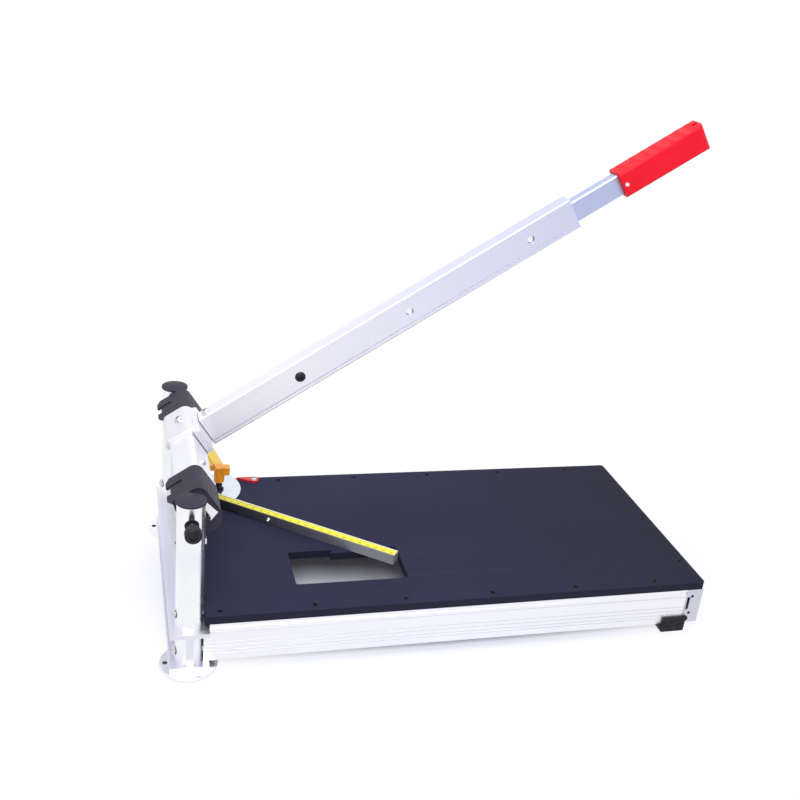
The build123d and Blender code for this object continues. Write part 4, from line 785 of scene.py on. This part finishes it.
# Spring buttons: zinc plated discs that fill the inner tube's holes, flush with its sides, and show
# through the outer tube's holes.
button_places = (0.293, 0.450)         # along the handle
tube_axis = -0.0078                    # across the handle
button_radius = 0.00435
button_thick = 0.0016
button_sunk = 0.00085                  # middle of a button, below the tube's side
tube_low, tube_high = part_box("handle_inner_tube")
buttons = []
for button_place in button_places:
    x, z = off_pivot(button_place, tube_axis)
    for y, out_y in ((tube_low.y, -1), (tube_high.y, 1)):
        bpy.ops.object.select_all(action="DESELECT")
        bpy.ops.mesh.primitive_cylinder_add(
            vertices=40, radius=button_radius, depth=button_thick,
            location=(x, y - out_y * button_sunk, z), rotation=(radians(90), 0, 0),
        )
        button = bpy.context.object
        bpy.ops.object.transform_apply(location=True, rotation=True, scale=True)
        round_rim(button, Vector((0, out_y, 0)), width=0.0006)
        buttons.append(button)
finished(buttons, "spring_buttons", zinc, "handle_end")


# Grip: soft red moulding over the inner tube's end, with a fine matt grain, rounded edges and
# slightly darker patches where it is held.  A rivet fixes it to the tube.
red, tree, surface = new_finish("red_grip", specular=0.22)
skin = pattern(tree, cloud, on_piece(tree), scale=800.0, low=0.42, high=0.58)
held = pattern(tree, cloud, on_piece(tree), scale=55.0)
grip_tone = two_tone(tree, held["Mask"], light=(0.86, 0.006, 0.022), dark=(0.77, 0.004, 0.015))
colour_in(tree, surface, grip_tone, skin["Value"])
emboss(tree, surface, skin["Mask"], depth=0.00005)
moulding = twins("grip")[0]
soften_edges(moulding, width=0.0014, steps=3, sharp=radians(28))
finished([moulding], "soft_grip", red, "handle_end", "grip")


# Fence: polished steel plate and a black anodised square bar that swing together.  A yellow tape
# on the bar is printed with a tick each millimetre, a longer one each fifth and a number each tenth,
# and the plate with graduations.  The bar's grey tone is painted reflection, and it darkens towards
# its pivot, under the rotor, as painted shade; the tape darkens there too, as painted shadow.
fence_pivot = Vector((0.028, 0.117, 0))
fence_turn = radians(-38)
# painted shade and reflection: the bar is lighter towards its free end and darker towards its pivot
bar_shade_ends = (0.22, 0.06)       # along the bar, where it darkens inwards
bar_painted_shade_tone = (0.07, 0.07, 0.09)
# painted shadow: the tape darkens towards the pivot, where the rotor's shadow falls
tape_shadow_ends = (0.14, 0.03)      # along the bar, where the tape darkens inwards
tape_shadow_share = 0.8
tape_painted_shadow_tone = (0.52, 0.45, 0.10)
border_tone = (0.90, 0.90, 0.86)
tape_start = 0.010
tape_middle = -0.0173         # tape's centre line from the pivot
tape_half = 0.005
border_width = 0.0011         # pale border along the tape's far edge
tick_inset = 0.0012           # ticks start this far inside that edge
number_inset = 0.0010         # numbers stand this far inside the near edge
number_size = 0.0038
centimetre = 0.010
last_number = 26
print_lift = 0.00004          # thickness of the ink
tape_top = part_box("fence_tape")[1].z
polish = clouded_finish(
    "polished_plate", light=(0.80, 0.88, 0.96), dark=(0.72, 0.80, 0.90),
    scale=60.0, low=0.08, high=0.2, metallic=1.0,
)
dress(polish, "protractor_plate")

bar_black, tree, surface = new_finish("black_bar", metallic=1.0)
on_fence = on_piece(tree, (0, 0, fence_turn), fence_pivot)
drawn = pattern(tree, fine_lines, on_fence, scale=500.0, low=0.44, high=0.58)
shaded_inward = add_ramp(tree, split_place(tree, on_fence)["X"], *bar_shade_ends)
bar_painted_reflection_tone = two_tone(tree, drawn["Streak"], light=(0.52, 0.52, 0.58), dark=(0.40, 0.40, 0.46))
colour_in(tree, surface, two_tone(tree, shaded_inward, bar_painted_reflection_tone, bar_painted_shade_tone), drawn["Value"])
emboss(tree, surface, drawn["Streak"], depth=0.00002)
dress(bar_black, "fence_bar")

tape, tree, surface = new_finish("yellow_tape", specular=0.35)
on_fence = on_piece(tree, (0, 0, fence_turn), fence_pivot)
haze = pattern(tree, cloud, on_fence, scale=200.0, low=0.34, high=0.52)
tape_place = split_place(tree, on_fence)
shaded_inward = add_ramp(tree, tape_place["X"], *tape_shadow_ends, high=tape_shadow_share)
border = add_math(tree, "GREATER_THAN", tape_place["Y"], tape_middle + tape_half - border_width)
tape_tone = two_tone(tree, haze["Mask"], light=(0.98, 0.90, 0.07), dark=(0.92, 0.82, 0.045))
tape_tone = two_tone(tree, shaded_inward, tape_tone, tape_painted_shadow_tone)
tape_tone = two_tone(tree, border, tape_tone, border_tone)
colour_in(tree, surface, tape_tone, haze["Value"])
dress(tape, "fence_tape")

ink = clouded_finish(
    "black_ink", light=(0.012, 0.012, 0.014), dark=(0.06, 0.055, 0.03),
    scale=900.0, low=0.5, high=0.65, specular=0.2,
)


def put_on_fence(piece):
    """Turns and moves a piece that was made along X from the fence's pivot, and fixes it there."""
    pick(piece)
    piece.rotation_euler = (0, 0, fence_turn)
    piece.location = fence_pivot
    bpy.ops.object.transform_apply(location=True, rotation=True, scale=True)


def tick_row(length, width, pitch, count):
    """Row of printed ticks that start near the tape's far edge."""
    far_edge = tape_middle + tape_half
    bpy.ops.mesh.primitive_cube_add(size=1.0)
    row = bpy.context.object
    row.scale = (width, length, print_lift)
    row.location = (tape_start + pitch, far_edge - tick_inset - length / 2, tape_top + print_lift / 2)
    bpy.ops.object.transform_apply(location=True, rotation=True, scale=True)
    repeat = row.modifiers.new("repeat", "ARRAY")
    repeat.use_relative_offset = False
    repeat.use_constant_offset = True
    repeat.constant_offset_displace = (pitch, 0, 0)
    repeat.count = count
    bpy.ops.object.modifier_apply(modifier="repeat")
    return row


prints = [
    tick_row(length=0.0016, width=0.00016, pitch=0.001, count=264),
    tick_row(length=0.0024, width=0.00020, pitch=0.005, count=52),
    tick_row(length=0.0036, width=0.00028, pitch=centimetre, count=last_number),
]
for mark in range(1, last_number + 1):
    bpy.ops.object.text_add(location=(0, 0, 0))
    number = bpy.context.object
    number.data.body = str(mark)
    number.data.size = number_size
    number.data.align_x = "CENTER"
    number.data.extrude = print_lift / 2
    bpy.ops.object.convert(target="MESH")
    number = bpy.context.object
    number.location = (
        tape_start + centimetre * mark, tape_middle - tape_half + number_inset, tape_top + print_lift / 2,
    )
    bpy.ops.object.transform_apply(location=True, rotation=True, scale=True)
    prints.append(number)
for piece in prints:
    put_on_fence(piece)
finished(prints, "tape_scale", ink, "fence")

to_stop = Vector((sin(fence_turn), -cos(fence_turn), 0))
down = Vector((0, 0, -1))
stop_screw_height = 0.006     # the stop screw lies flat, and is lower than this
screws = twins("fence_screws")
for screw in screws:
    heights = [corner.co.z for corner in screw.data.vertices]
    if max(heights) - min(heights) > stop_screw_height:
        cut_socket(screw, down, radius=0.0020, depth=0.0014)
    else:
        round_rim(screw, to_stop, width=0.0006)
        cut_socket(screw, to_stop, radius=0.0011, depth=0.0010)
finished(screws, "socket_fence_screws", chrome, "fence", "fence_screws")

tick_radius = 0.0495
tick_long = 0.0042
tick_wide = 0.00026
plate_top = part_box("protractor_plate")[1].z
bpy.ops.mesh.primitive_cube_add(size=1.0)
graduation = bpy.context.object
graduation.scale = (tick_long, tick_wide, print_lift)
graduation.location = (tick_radius - tick_long / 2, 0, plate_top + print_lift / 2)
bpy.ops.object.transform_apply(location=True, rotation=True, scale=True)
bpy.ops.object.mode_set(mode="EDIT")
bpy.ops.mesh.select_all(action="SELECT")
bpy.ops.mesh.spin(dupli=True, steps=10, angle=radians(50), center=(0, 0, 0), axis=(0, 0, 1))
bpy.ops.object.mode_set(mode="OBJECT")
put_on_fence(graduation)
finished([graduation], "plate_graduations", ink, "fence")


# Clamp: black stud and washer that hold the fence's plate to the board, with a moulded orange lever
# screwed on.  Along its arm the lever's orange turns yellow, as a painted highlight.
stud_place = (0.053, 0.112, 0)
# painted highlight: the arm's yellow stands for the light that falls on it
highlight_ends = (0.003, 0.011)     # from the stud, where the hub's orange turns into the arm's yellow
painted_highlight_yellow = (1.0, 0.68, 0.06)
dress(oxide, "clamp_stud", "clamp_washer")
orange, tree, surface = new_finish("orange_lever", coat=0.5)
flow = pattern(tree, cloud, on_piece(tree), scale=60.0)
haze = pattern(tree, cloud, on_piece(tree), scale=400.0, low=0.26, high=0.42)
lever_place = split_place(tree, on_piece(tree, origin=stud_place))
in_highlight = add_ramp(tree, lever_place["Y"], *highlight_ends)
lever_tone = two_tone(tree, flow["Mask"], light=(1.0, 0.42, 0.010), dark=(0.98, 0.34, 0.007))
colour_in(tree, surface, two_tone(tree, in_highlight, lever_tone, painted_highlight_yellow), haze["Value"])
emboss(tree, surface, haze["Mask"], depth=0.00002)
dress(orange, "clamp_lever")
